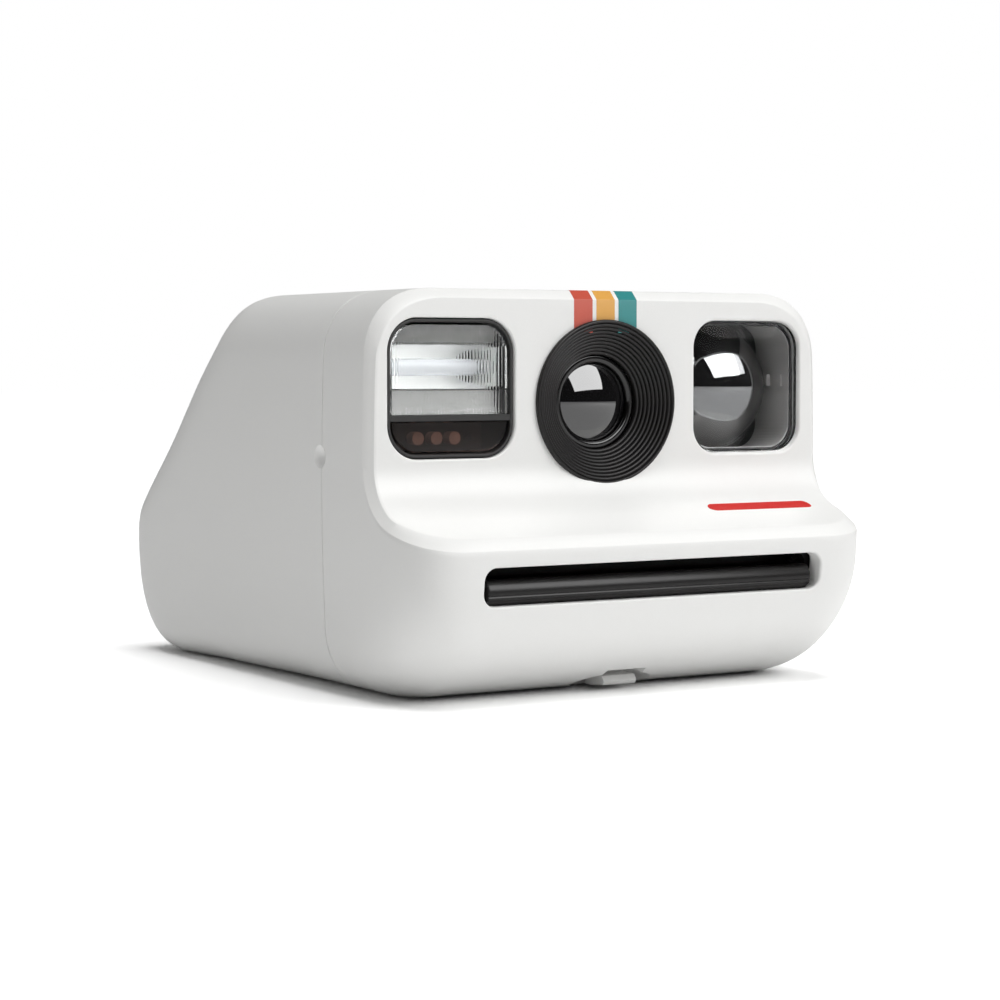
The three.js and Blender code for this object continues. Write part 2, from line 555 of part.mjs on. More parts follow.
// ---- film path ----------------------------------------------------------
const PITCH_RADIUS = (teeth) => GEAR_MODULE * teeth / 2;
const UPPER = { y: ROLLER_Y, z: NIP_Z + PITCH_RADIUS(ROLLER_TEETH) };
const LOWER = { y: ROLLER_Y, z: NIP_Z - PITCH_RADIUS(ROLLER_TEETH) };
const alongTrain = (distance) => ({
  y: UPPER.y + distance * Math.cos(TRAIN_ANGLE),
  z: UPPER.z + distance * Math.sin(TRAIN_ANGLE),
});
const IDLER_REACH = PITCH_RADIUS(ROLLER_TEETH) + PITCH_RADIUS(IDLER_TEETH);
const IDLER = alongTrain(IDLER_REACH);
const PINION = alongTrain(IDLER_REACH + PITCH_RADIUS(IDLER_TEETH) + PITCH_RADIUS(PINION_TEETH));
const SHIELD = { y: -49.6, z: 17.1, radius: 1.75, axisY: -46.5, axisZ: 19.6 };

// A gear outline about (y, z) with a tooth pointing at firstTooth.
function gearShape(teeth, firstTooth, centre) {
  const pitch = PITCH_RADIUS(teeth);
  const root = pitch - 1.2 * GEAR_MODULE;
  const tip = pitch + 0.85 * GEAR_MODULE;
  const step = 2 * Math.PI / teeth;
  const points = [];
  for (let i = 0; i < teeth; i += 1) {
    const middle = firstTooth + i * step;
    for (const [radius, share] of [[root, -0.29], [tip, -0.1], [tip, 0.1], [root, 0.29]]) {
      const angle = middle + share * step;
      points.push([centre.y + radius * Math.cos(angle), centre.z + radius * Math.sin(angle)]);
    }
  }
  return polygon(...points);
}

function gear(teeth, firstTooth, centre, bore) {
  const wheel = solid(drawnAlongX(gearShape(teeth, firstTooth, centre), GEAR_X - GEAR_WIDTH / 2,
    GEAR_X + GEAR_WIDTH / 2));
  return bore ? wheel.subtract(solid(rodX(bore, -40, -30, centre.y, centre.z, 12))) : wheel;
}

function addFilmDrive() {
  for (const [name, place] of [['upper_roller', UPPER], ['lower_roller', LOWER]]) {
    const sleeve = solid(rodX(ROLLER_RADIUS, -30.7, 30.7, place.y, place.z, 20));
    add(name, sleeve.add(solid(rodX(1, -35.8, 32, place.y, place.z, 12))), FINISH.steel);
  }
  // A tooth of each gear meets a gap of the next one on the line between their centres.
  const halfStep = (teeth) => Math.PI / teeth;
  add('upper_roller_gear', gear(ROLLER_TEETH, TRAIN_ANGLE, UPPER, 1.05), FINISH.nylon);
  const upperAtNip = (-Math.PI / 2 - TRAIN_ANGLE) / (2 * halfStep(ROLLER_TEETH));
  const phase = upperAtNip - Math.round(upperAtNip);
  const lowerTooth = Math.PI / 2 + halfStep(ROLLER_TEETH) + phase * 2 * halfStep(ROLLER_TEETH);
  add('lower_roller_gear', gear(ROLLER_TEETH, lowerTooth, LOWER, 1.05), FINISH.nylon);
  const idlerTooth = TRAIN_ANGLE + Math.PI + halfStep(IDLER_TEETH);
  add('idler_gear', gear(IDLER_TEETH, idlerTooth, IDLER, 1.3), FINISH.nylon);
  const idlerAtPinion = (TRAIN_ANGLE - idlerTooth) / (2 * halfStep(IDLER_TEETH));
  const shift = idlerAtPinion - Math.round(idlerAtPinion);
  const pinionTooth = TRAIN_ANGLE + Math.PI + halfStep(PINION_TEETH) + shift * 2 * halfStep(PINION_TEETH);
  const pinion = gear(PINION_TEETH, pinionTooth, PINION, 0);
  add('motor_pinion', pinion.add(solid(rodX(0.7, -35.8, -29, PINION.y, PINION.z, 10))), FINISH.steel);
  add('eject_motor', rodX(5.3, -28.6, -9, PINION.y, PINION.z, 24), FINISH.steel);
  const plate = polygon([-44.5, 9.5], [-37.5, 9.5], [-35.5, 18], [-22.5, 18.4], [-22.5, 29],
    [-33, 27.8], [-38.5, 25.5], [-44.5, 22.6]);
  let left = solid(drawnAlongX(plate, -32.2, -31.2));
  for (const [place, radius] of [[UPPER, 1.2], [LOWER, 1.2], [PINION, 0.95]]) {
    left = left.subtract(solid(rodX(radius, -34, -30, place.y, place.z, 12)));
  }
  left = left.add(solid(rodX(1, -35.8, -31.8, IDLER.y, IDLER.z, 12)));
  add('roller_bracket_left', left, FINISH.steel);
  let right = solid(drawnAlongX(polygon([-44.5, 9.5], [-37.5, 9.5], [-37.5, 22.6], [-44.5, 22.6]), 31.2, 32.2));
  for (const place of [UPPER, LOWER]) {
    right = right.subtract(solid(rodX(1.2, 30, 34, place.y, place.z, 12)));
  }
  add('roller_bracket_right', right, FINISH.steel);
}

function addFilmSlot() {
  const middle = (SLOT_LOW + SLOT_HIGH) / 2;
  const outside = solid(drawnAlongY(roundedRect(0, middle, 31.4, 3.8, 2.2), -48.4, -45));
  const inside = solid(drawnAlongY(roundedRect(0, middle, 30.4, 2.75, 1.8), -50, -44));
  add('slot_liner', outside.subtract(inside), FINISH.black);
  const bar = solid(rodX(SHIELD.radius, -29.4, 29.4, SHIELD.y, SHIELD.z, 18));
  const cheek = polygon(
    [SHIELD.y + 0.6, SHIELD.z - 1.4], [SHIELD.axisY + 0.8, SHIELD.axisZ - 0.5],
    [SHIELD.axisY, SHIELD.axisZ + 0.8], [SHIELD.y - 0.4, SHIELD.z + 1.5]);
  let shield = bar;
  for (const side of [-1, 1]) {
    const inner = side * 28.4;
    const outer = side * 29.4;
    const tip = side * 30;
    const span = [Math.min(inner, outer), Math.max(inner, outer)];
    shield = shield.add(solid(drawnAlongX(cheek, ...span)));
    shield = shield.add(solid(rodX(0.45, Math.min(inner, tip), Math.max(inner, tip),
      SHIELD.axisY, SHIELD.axisZ, 8)));
  }
  add('film_shield', shield, FINISH.black);
}

function addFilmChamber() {
  let box = solid(block(-32.8, 32.8, -34, 38.8, 4.4, 17.6));
  box = box.subtract(solid(block(-31.4, 31.4, -32.6, 37.6, 2, 16.2)));
  box = box.subtract(solid(block(-20.5, 20.5, -8, 36.4, 15, 19)));
  box = box.subtract(solid(block(-29, 29, -36, -31, 14.6, 16.1)));
  box = box.subtract(solid(block(23.4, 27.6, 29, 37.5, 15, 19)));
  add('film_chamber', box, FINISH.dark);
  const strip = solid(block(23, 28, -20, 37.6, 18, 18.8));
  const hook = solid(block(24, 27, 36, 37.2, 13.4, 18.4));
  add('pick_arm', strip.add(hook), FINISH.steel);
  const screws = [[-28, 0], [-28, 36], [30.6, 34], [30.6, -18]];
  screws.forEach(([x, y], index) => {
    const head = solid(rodZ(1.5, x, y, 17.7, 18.9, 12));
    const cross = solid(block(x - 0.9, x + 0.9, y - 0.2, y + 0.2, 18.4, 19.5));
    add(`chamber_screw_${index + 1}`, head.subtract(cross), FINISH.steel);
  });
}

// ---- light path and electronics -----------------------------------------
function addLightPath() {
  const outside = polygon([-15, 38.5], [-9, 17.9], [38, 17.9], [38, 31.4], [13.4, 56], [-15, 50.5]);
  const inside = polygon([-13.6, 39.2], [-7.6, 16], [36.6, 16], [36.6, 36], [16.4, 55.1], [-13.6, 49.3]);
  const walls = solid(drawnAlongX(outside, -22, 22)).subtract(solid(drawnAlongX(inside, -20.6, 20.6)));
  add('light_cone', walls.subtract(solid(rodY(5, 0, -17, -12, LENS_Z))), FINISH.dark);
  const mirror = new THREE.BoxGeometry(43, 33.6, 1.5).rotateX(-Math.PI / 4);
  add('taking_mirror', mirror.translate(0, 26.6, 44.3), FINISH.mirror);
}

function addElectronics() {
  const board = solid(block(-32, 18, -22, -1, 56.3, 57.5));
  const chips = [[-4, 8, -18, -8], [11, 16, -16, -11], [-18, -13, -19, -15]];
  let populated = board;
  for (const [x0, x1, y0, y1] of chips) populated = populated.add(solid(block(x0, x1, y0, y1, 57.4, 58.3)));
  add('main_board', populated, FINISH.board);
  add('battery', block(-38, -24, -8, 22, 21, 39), FINISH.foil);
  add('flash_capacitor', rodY(4.2, -30, -24, 2, 49.5, 24), FINISH.foil);
}

addShells();
addMarks();
addDoor();
addLens();
addShutter();
addFlash();
addViewfinder();
addControls();
addFilmDrive();
addFilmSlot();
addFilmChamber();
addLightPath();
addElectronics();

export default camera;
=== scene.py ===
# %% [markdown]
# # A small instant camera
# The frame holds every part of the camera as a plain solid, with the joints that move it. This
# lesson dresses that frame: it works out each visible skin as a surface, gives each piece the
# finish of its real material, and lights it on a pale table.

# %% Load the frame
import bpy
import math
import numpy as np
from mathutils import Matrix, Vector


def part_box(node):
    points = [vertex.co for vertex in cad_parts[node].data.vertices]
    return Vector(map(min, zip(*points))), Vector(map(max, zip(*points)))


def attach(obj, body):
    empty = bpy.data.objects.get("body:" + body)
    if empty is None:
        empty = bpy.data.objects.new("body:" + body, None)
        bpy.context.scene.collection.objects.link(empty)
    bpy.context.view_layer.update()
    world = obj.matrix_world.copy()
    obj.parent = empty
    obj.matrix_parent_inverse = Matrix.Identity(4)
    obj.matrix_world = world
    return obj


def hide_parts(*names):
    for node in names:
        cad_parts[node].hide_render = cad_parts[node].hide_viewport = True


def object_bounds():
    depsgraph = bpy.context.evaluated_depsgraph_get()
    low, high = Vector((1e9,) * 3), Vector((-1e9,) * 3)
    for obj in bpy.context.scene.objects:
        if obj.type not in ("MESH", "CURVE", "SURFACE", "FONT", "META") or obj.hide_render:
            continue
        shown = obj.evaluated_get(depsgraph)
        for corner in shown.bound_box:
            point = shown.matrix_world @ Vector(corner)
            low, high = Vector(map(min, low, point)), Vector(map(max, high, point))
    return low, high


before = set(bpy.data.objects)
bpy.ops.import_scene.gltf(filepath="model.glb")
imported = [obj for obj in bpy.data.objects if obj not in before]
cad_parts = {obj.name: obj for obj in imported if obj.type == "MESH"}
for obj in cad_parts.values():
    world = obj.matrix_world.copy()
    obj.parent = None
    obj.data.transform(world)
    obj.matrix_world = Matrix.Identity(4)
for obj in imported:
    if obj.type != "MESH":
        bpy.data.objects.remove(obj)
cad_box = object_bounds()

MM = 0.001


def low(node):
    """The lowest corner of a CAD node, in millimetres."""
    return np.array(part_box(node)[0]) / MM


def high(node):
    """The highest corner of a CAD node, in millimetres."""
    return np.array(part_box(node)[1]) / MM


def middle(node):
    """The middle of a CAD node's box, in millimetres."""
    return (low(node) + high(node)) / 2


# %% [markdown]
# ## The view and the light
# The eye stands low and to the left, about 0.42 m away, behind a longish lens, so the sides run
# nearly parallel. White plastic on white shows its form only if each side gets its own light:
# the front and the top get the most, and the left side gets what the room gives back.

# %% Camera and studio
def aimed(place, target):
    """The matrix of a thing at place whose -Z axis points at target, with its Y axis upwards."""
    place = np.array(place, float)
    towards = np.array(target, float) - place
    towards /= np.linalg.norm(towards)
    right = np.cross(towards, (0, 0, 1))
    right /= np.linalg.norm(right)
    matrix = np.eye(4)
    matrix[:3, :3] = np.column_stack([right, np.cross(right, towards), -towards])
    matrix[:3, 3] = place
    return Matrix(matrix.tolist())


VIEW_AZIMUTH = math.radians(-31.26)
VIEW_ELEVATION = math.radians(3.16)
EYE_MM = (-212.9, -356.6, 50.3)
FOCAL_LENGTH = 89.16
FILM_WIDTH = 36
eye = np.array(EYE_MM) * MM
look = np.array((-math.sin(VIEW_AZIMUTH) * math.cos(VIEW_ELEVATION),
                 math.cos(VIEW_AZIMUTH) * math.cos(VIEW_ELEVATION),
                 -math.sin(VIEW_ELEVATION)))
lens_data = bpy.data.cameras.new("view")
lens_data.lens = FOCAL_LENGTH
lens_data.sensor_width = FILM_WIDTH
lens_data.clip_start = 0.01
view = bpy.data.objects.new("view", lens_data)
view.matrix_world = aimed(eye, eye + look)
bpy.context.collection.objects.link(view)
bpy.context.scene.camera = view
bpy.context.scene.view_settings.view_transform = "Standard"


def softbox(name, place, target, width, height, watts):
    """A rectangular area light that lights the way it faces."""
    data = bpy.data.lights.new(name, "AREA")
    data.shape = "RECTANGLE"
    data.size = width
    data.size_y = height
    data.energy = watts
    light = bpy.data.objects.new(name, data)
    light.matrix_world = aimed(place, target)
    bpy.context.collection.objects.link(light)
    return light


# Boxes stand 1.1 m off. One lights the body and the other is only seen in its reflections, as the
# two would if a flag kept the key out of every shiny face.
LIGHT_DISTANCE = 1.1
KEY_WAY = np.array((0.519, -0.624, 0.583))
KEY_SIZE = (0.62, 0.80)
KEY_WATTS = 5.7
GLINT_WAY = np.array((0.270, -0.770, 0.578))
GLINT_SIZE = (1.00, 0.78)
GLINT_WATTS = 13
SKY_STRENGTH = 1.95
SKY_ANGLE = math.radians(36)
heart = np.array((0, -0.02, 0.035))
key = softbox("key_box", heart + LIGHT_DISTANCE * KEY_WAY, heart, *KEY_SIZE, KEY_WATTS)
key.visible_glossy = False
glint = softbox("glint_box", heart + LIGHT_DISTANCE * GLINT_WAY, heart, *GLINT_SIZE, GLINT_WATTS)
glint.visible_diffuse = False
overhead = bpy.data.lights.new("overhead", "SUN")
overhead.energy = SKY_STRENGTH
overhead.angle = SKY_ANGLE
sky = bpy.data.objects.new("overhead", overhead)
sky.matrix_world = aimed((0, 0, 1), (0.0001, 0.05, 0))
bpy.context.collection.objects.link(sky)
sky.visible_glossy = False
print("camera and", len(bpy.data.lights), "lights")

# %% [markdown]
# ## Building with nodes and grids
# Every material is a few nodes around one Principled shader, and every skin is a grid of points.
# One helper adds a node, one turns hex colours to linear light, and one turns a grid of rows
# into a closed mesh that faces outwards.

# %% Node and colour helpers
def linear(hex_colour):
    """An sRGB colour such as '#f2f2f0' as linear red, green, blue and a full alpha."""
    srgb = np.array([int(hex_colour[i:i + 2], 16) for i in (1, 3, 5)]) / 255
    straight = np.where(srgb <= 0.04045, srgb / 12.92, ((srgb + 0.055) / 1.055) ** 2.4)
    return (*straight.tolist(), 1.0)


def node(tree, kind, settings=None, links=None):
    """Adds a node, sets its fields or input sockets by name, and links sockets into its inputs."""
    made = tree.nodes.new(kind)
    for name, value in (settings or {}).items():
        if isinstance(name, int) or name in made.inputs:
            made.inputs[name].default_value = value
        else:
            setattr(made, name, value)
    for name, socket in (links or {}).items():
        tree.links.new(socket, made.inputs[name])
    return made


def blank(name):
    """A new material's tree, with only its output node, and the material."""
    material = bpy.data.materials.new(name)
    material.use_nodes = True
    tree = material.node_tree
    tree.nodes.clear()
    return material, tree


def shown(tree, shader, socket="BSDF"):
    """Wires a shader to the material's output."""
    node(tree, "ShaderNodeOutputMaterial", links={"Surface": shader.outputs[socket]})


studio = bpy.data.worlds.new("studio")
studio.use_nodes = True
air = studio.node_tree
air.nodes.clear()
ROOM_LIGHT = 0.13
DARK_ROOM = 0.03
path = node(air, "ShaderNodeLightPath")
white = linear("#ffffff")
room = node(air, "ShaderNodeBackground", {"Color": white, "Strength": ROOM_LIGHT})
dark = node(air, "ShaderNodeBackground", {"Color": white, "Strength": DARK_ROOM})
paper = node(air, "ShaderNodeBackground", {"Color": white, "Strength": 1.0})
seen = node(air, "ShaderNodeMixShader", links={0: path.outputs["Is Glossy Ray"], 1: room.outputs[0],
                                              2: dark.outputs[0]})
both = node(air, "ShaderNodeMixShader", links={0: path.outputs["Is Camera Ray"], 1: seen.outputs[0],
                                              2: paper.outputs[0]})
node(air, "ShaderNodeOutputWorld", links={"Surface": both.outputs[0]})
bpy.context.scene.world = studio
print("room light", ROOM_LIGHT)


# %% [markdown]
# ## Grids into meshes
# Every skin is rows of points that close round on themselves. Quads join each row to the next, a
# fan closes each end, and the sign of the enclosed volume tells whether the faces look outwards.
# Making them by hand would need a check of every face's direction instead.

# %% Grid helpers
def rows_to_faces(row_count, columns, wrap_rows):
    """Quads between neighbouring rows of a grid whose columns close on themselves."""
    last = row_count if wrap_rows else row_count - 1
    r = np.arange(last)[:, None]
    c = np.arange(columns)[None, :]
    here = r * columns + c
    beside = r * columns + (c + 1) % columns
    above = (r + 1) % row_count * columns + c
    above_beside = (r + 1) % row_count * columns + (c + 1) % columns
    return np.stack([here, beside, above_beside, above], axis=-1).reshape(-1, 4)


def enclosed(points, triangles):
    """The volume inside a closed mesh: a sixth of the sum of a . (b x c) over its triangles."""
    a, b, c = (points[triangles[:, i]] for i in range(3))
    return np.einsum("ij,ij->i", a, np.cross(b, c)).sum() / 6


def raw_mesh(name, coordinates, corners, sizes):
    """A mesh from flat arrays: the points in metres, the faces' corners in turn, and their counts."""
    mesh = bpy.data.meshes.new(name)
    mesh.vertices.add(len(coordinates) // 3)
    mesh.vertices.foreach_set("co", coordinates)
    mesh.loops.add(len(corners))
    mesh.loops.foreach_set("vertex_index", corners)
    mesh.polygons.add(len(sizes))
    mesh.polygons.foreach_set("loop_start", np.concatenate([[0], np.cumsum(sizes)[:-1]]).astype(np.int32))
    mesh.update(calc_edges=True)
    return mesh


def closed_mesh(name, rows, ends=True, wrap_rows=False):
    """A mesh from an array of rows (rows x columns x 3, in mm), with a point closing each end.

    With wrap_rows the last row joins the first, as on a ring, and there are no ends.
    """
    rows = np.asarray(rows, float)
    row_count, columns, _ = rows.shape
    points = rows.reshape(-1, 3)
    quads = rows_to_faces(row_count, columns, wrap_rows)
    fans = np.zeros((0, 3), int)
    if ends and not wrap_rows:
        caps = np.stack([rows[0].mean(axis=0), rows[-1].mean(axis=0)])
        first = len(points)
        points = np.concatenate([points, caps])
        c = np.arange(columns)
        n = (c + 1) % columns
        base = (row_count - 1) * columns
        fans = np.concatenate([np.stack([n, c, np.full(columns, first)], 1),
                               np.stack([base + c, base + n, np.full(columns, first + 1)], 1)])
    split = np.concatenate([quads[:, [0, 1, 2]], quads[:, [0, 2, 3]], fans])
    if enclosed(points, split) < 0:
        quads = quads[:, ::-1]
        fans = fans[:, ::-1]
    corners = np.concatenate([quads.ravel(), fans.ravel()]).astype(np.int32)
    sizes = np.concatenate([np.full(len(quads), 4), np.full(len(fans), 3)])
    mesh = raw_mesh(name, (points * MM).astype(np.float32).ravel(), corners, sizes)
    mesh.validate()
    return mesh


def put(name, mesh):
    """An object for a mesh, at the origin, in the scene."""
    thing = bpy.data.objects.new(name, mesh)
    bpy.context.collection.objects.link(thing)
    return thing


def joined(name, meshes):
    """Several closed meshes as one mesh, each still closed."""
    points, corners, sizes = [], [], []
    count = 0
    for mesh in meshes:
        co = np.zeros(len(mesh.vertices) * 3, np.float32)
        mesh.vertices.foreach_get("co", co)
        index = np.zeros(len(mesh.loops), np.int32)
        mesh.loops.foreach_get("vertex_index", index)
        total = np.zeros(len(mesh.polygons), np.int32)
        mesh.polygons.foreach_get("loop_total", total)
        points.append(co)
        corners.append(index + count)
        sizes.append(total)
        count += len(mesh.vertices)
        bpy.data.meshes.remove(mesh)
    return raw_mesh(name, np.concatenate(points), np.concatenate(corners), np.concatenate(sizes))


def cut(thing, cutters, operation="DIFFERENCE"):
    """Cuts closed meshes out of a thing, or adds them to it, and keeps the result as its mesh."""
    helpers = []
    for index, cutter in enumerate(cutters):
        helper = put(f"{thing.name}_cutter_{index}", cutter)
        helpers.append(helper)
        step = thing.modifiers.new("cut", "BOOLEAN")
        step.object = helper
        step.operation = operation
        step.solver = "MANIFOLD"
    bpy.context.view_layer.update()
    evaluated = thing.evaluated_get(bpy.context.evaluated_depsgraph_get())
    result = bpy.data.meshes.new_from_object(evaluated)
    thing.modifiers.clear()
    thing.data = result
    for helper in helpers:
        bpy.data.objects.remove(helper)
    return thing


def finish_piece(thing, material, body, slot, replaced=(), sharp_angle=32):
    """Smooths a piece up to an angle, gives it its material, and fixes it to its body."""
    thing.data.materials.clear()
    thing.data.materials.append(material)
    thing.data.shade_smooth()
    thing.data.set_sharp_from_angle(angle=math.radians(sharp_angle))
    if replaced:
        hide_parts(*replaced)
    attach(thing, body)
    print(f"{thing.name}: {len(thing.data.polygons)} faces")
    return thing


print("a tube of 3 rows and 4 columns has", len(rows_to_faces(3, 4, False)), "faces")

# %% [markdown]
# ## The body's form
# The two shells are injection moulded ABS. Their form is a box with a sloping back, whose edges
# all run into each other. It could be modelled with bevels, but then every corner needs care.
# Here the hull is one formula: the signed distances to a few planes, joined by a maximum that is
# blended near equality. The hollow face is a straight line, an arc and a line, carried sideways.

# %% The hull's formula
HALF_WIDTH = (cad_box[1][0] - cad_box[0][0]) / 2 / MM
HALF_DEPTH = (cad_box[1][1] - cad_box[0][1]) / 2 / MM
HEIGHT = 61.5
BELLY_Z = 32
SIDE_BOW = 0.001
SLOPE_SUM = 77.2
BASE_DIP = 0.15
CHIN_TOP = 24.6
CHIN_DRAFT = 0.012
DRAFT_TOP = 22.9
FACE_Y = -37.3
EDGE_CHAMFER = 1.4
WALL = 2.0
SEAM_Y = -23.0
SHELF_ANGLE = math.radians(17)
SWEEP_RADIUS = 8.5
HULL_CENTRE = np.array((0.0, -5.0, 28.0))
LENS_Z = 44.3


def blended_max(a, b, k):
    """The larger of a and b, raised by k h^2 / 4 where they differ by less than k: a round edge."""
    h = np.clip(1 - np.abs(a - b) / k, 0, None)
    return np.maximum(a, b) + h * h * k / 4


def ease(value, start, end):
    """0 before start, 1 after end, and 3t^2 - 2t^3 between."""
    t = np.clip((value - start) / (end - start), 0, 1)
    return t * t * (3 - 2 * t)


def hull_level(p):
    """How far points are outside the hull (negative inside), blended from its seven planes."""
    x, y, z = p[..., 0], p[..., 1], p[..., 2]
    side = np.abs(x) - HALF_WIDTH + SIDE_BOW * (z - BELLY_Z) ** 2
    slope = (y + z - SLOPE_SUM) / math.sqrt(2)
    base = -z - BASE_DIP
    rear = blended_max(blended_max(z - HEIGHT, slope, 3.6), y - HALF_DEPTH, 2.4)
    front = -y - HALF_DEPTH + CHIN_DRAFT * np.clip(DRAFT_TOP - z, 0, None) ** 2
    profile = np.maximum(blended_max(rear, base, 14.0), blended_max(front, base, 16.0))
    near_back = ease(y, 20, 45) * (1 - ease(z, 24, 40))
    near_base = (1 - ease(y, -10, 20)) * (1 - ease(z, 5, 20))
    edge = 9.5 - 2.5 * near_back + 1.5 * near_base + 1.5 * ease(z, 46, 58)
    return blended_max(side, profile, edge)


SWEEP_TURN = math.pi / 2 - SHELF_ANGLE
SHELF_ROOT_Z = CHIN_TOP + (HALF_DEPTH + FACE_Y) * math.tan(SHELF_ANGLE)
SWEEP_TOP_Z = SHELF_ROOT_Z + SWEEP_RADIUS * math.tan(SWEEP_TURN / 2)
FACE_STRAIGHT = HEIGHT - SWEEP_TOP_Z


def face_point(x, s, inset):
    """The face at x and at s down its profile: a straight, an arc, then the shelf's straight."""
    turn = np.clip((s - FACE_STRAIGHT) / SWEEP_RADIUS, 0, SWEEP_TURN)
    reach = SWEEP_RADIUS + inset
    above = np.minimum(s - FACE_STRAIGHT, 0)
    beyond = np.clip(s - FACE_STRAIGHT - SWEEP_RADIUS * SWEEP_TURN, 0, None)
    y = FACE_Y - SWEEP_RADIUS + reach * np.cos(turn) - beyond * math.cos(SHELF_ANGLE)
    z = SWEEP_TOP_Z - reach * np.sin(turn) - above - beyond * math.sin(SHELF_ANGLE)
    return np.stack([x + 0 * s, y, z], axis=-1)


def where_level(point_at, level, count):
    """For each column, the reach r at which point_at(r) meets the hull's level, by halving."""
    near = np.zeros(count)
    far = np.full(count, 90.0)
    for _ in range(34):
        half = (near + far) / 2
        inside = hull_level(point_at(half)) < level
        near = np.where(inside, half, near)
        far = np.where(inside, far, half)
    return (near + far) / 2


COLUMNS = 480
steps = np.arange(COLUMNS) / COLUMNS * 2 * np.pi
ANGLE = steps + 0.12 * np.sin(4 * steps)


def on_face(share, inset, level):
    """The face's points at a share of the way from the lens to where the hull's level ends it."""
    def ray(r):
        """The face's points at the distances r from the lens."""
        return face_point(r * np.cos(ANGLE), HEIGHT - LENS_Z - r * np.sin(ANGLE), inset)
    return ray(where_level(ray, level, COLUMNS) * share)


def on_hull(towards, inset):
    """The hull's points straight out from its centre towards the points given."""
    ray_way = towards - HULL_CENTRE
    ray_way = ray_way / np.linalg.norm(ray_way, axis=-1, keepdims=True)
    reach = where_level(lambda r: HULL_CENTRE + r[:, None] * ray_way, -inset, COLUMNS)
    return HULL_CENTRE + reach[:, None] * ray_way


def at_seam(y, inset):
    """The hull's outline in the plane y, found straight out from the axis through its centre."""
    start = np.array((0.0, y, HULL_CENTRE[2]))
    ray_way = np.stack([np.cos(ANGLE), 0 * ANGLE, np.sin(ANGLE)], axis=-1)
    reach = where_level(lambda r: start + r[:, None] * ray_way, -inset, COLUMNS)
    return start + reach[:, None] * ray_way


def rim(inset, chamfer=EDGE_CHAMFER):
    """Where the chamfer round the face meets the hull's side."""
    return on_face(1.0, inset + chamfer, -inset)


def between(a, b, share):
    """The point a share of the way from a to b."""
    return a + (b - a) * share


print("columns round the hull:", COLUMNS)


# %% [markdown]
# ## The two shells
# Each shell is one grid of 480 columns. The front one starts in the middle of the face, runs over
# the chamfer and back to the seam, turns in through the wall and returns on the inside. Rows
# close together beside each crease make the small soft edges that a mould leaves.

# %% Shell skins
SEAM_HALF_GAP = 0.07
SEAM_SOFT = 0.16


def front_skin():
    """Rows of the front shell, outside from the face's middle to the seam, then back inside."""
    face_edge = on_face(1.0, 0, -EDGE_CHAMFER)
    outer_rim = rim(0)
    seam = SEAM_Y - SEAM_HALF_GAP
    soft_seam = at_seam(seam - SEAM_SOFT, 0)
    rows = [on_face(share, 0, -EDGE_CHAMFER) for share in np.linspace(0.02, 0.99, 46)]
    rows += [between(face_edge, rows[-1], 0.5), between(face_edge, outer_rim, 0.07)]
    rows += [between(face_edge, outer_rim, 0.5), between(face_edge, outer_rim, 0.93)]
    rows += [on_hull(between(outer_rim, soft_seam, share), 0) for share in
             (0.012, *np.linspace(0.03, 1, 44))]
    rows += [at_seam(seam - SEAM_SOFT * 0.3, SEAM_SOFT * 0.3), at_seam(seam, SEAM_SOFT)]
    inner_rim = rim(WALL)
    inner_seam = at_seam(seam, WALL)
    rows += [inner_seam]
    rows += [on_hull(between(inner_seam, inner_rim, share), WALL) for share in (0.3, 0.6, 0.97)]
    rows += [on_face(share, WALL, -EDGE_CHAMFER - WALL) for share in np.linspace(0.98, 0.02, 14)]
    rows = np.array(rows)
    rows[:, :, 2] = np.maximum(rows[:, :, 2], 0)
    return rows


def turned_to_back(start, share):
    """Directions turned from the seam's towards straight back, in equal steps of angle."""
    back = np.array((0.0, 1.0, 0.0))
    start = (start - HULL_CENTRE) / np.linalg.norm(start - HULL_CENTRE, axis=-1, keepdims=True)
    angle = np.arccos(start @ back)[:, None]
    return HULL_CENTRE + (np.sin((1 - share) * angle) * start + np.sin(share * angle) * back) / np.sin(angle)


def rear_skin():
    """Rows of the rear shell, outside from the back's middle to the seam, then back inside."""
    seam = SEAM_Y + SEAM_HALF_GAP
    soft_seam = at_seam(seam + SEAM_SOFT, 0)
    rows = [on_hull(turned_to_back(soft_seam, share), 0) for share in np.linspace(0.995, 0, 120)[:-1]]
    rows += [soft_seam, at_seam(seam + SEAM_SOFT * 0.3, SEAM_SOFT * 0.3), at_seam(seam, SEAM_SOFT)]
    inner = at_seam(seam, WALL)
    rows += [inner]
    rows += [on_hull(turned_to_back(inner, share), WALL) for share in np.linspace(0.06, 0.99, 22)]
    rows = np.array(rows)
    rows[:, :, 2] = np.maximum(rows[:, :, 2], 0)
    return rows


front_shell = put("front_shell_skin", closed_mesh("front_shell_skin", front_skin()))
rear_shell = put("rear_shell_skin", closed_mesh("rear_shell_skin", rear_skin()))
print("skins:", len(front_shell.data.vertices), "and", len(rear_shell.data.vertices), "points")


# %% [markdown]
# ## Outlines and where they go
# An opening is a flat outline, carried along its depth and grown where its edge turns round. The
# same outline works on any side of the body, because a small function says how its two flat
# directions and its depth lie there.

# %% Cutters for openings
def rounded_outline(half_wide, half_high, corner, count=12):
    """A rectangle with round corners, as quarter circles joined by its straight sides."""
    turn = np.linspace(0, np.pi / 2, count)
    corners = []
    for quarter, (sx, sy) in enumerate(((1, 1), (-1, 1), (-1, -1), (1, -1))):
        angle = turn + quarter * np.pi / 2
        corners.append(np.stack([sx * (half_wide - corner) + corner * np.cos(angle),
                                 sy * (half_high - corner) + corner * np.sin(angle)], axis=1))
    return np.concatenate(corners)


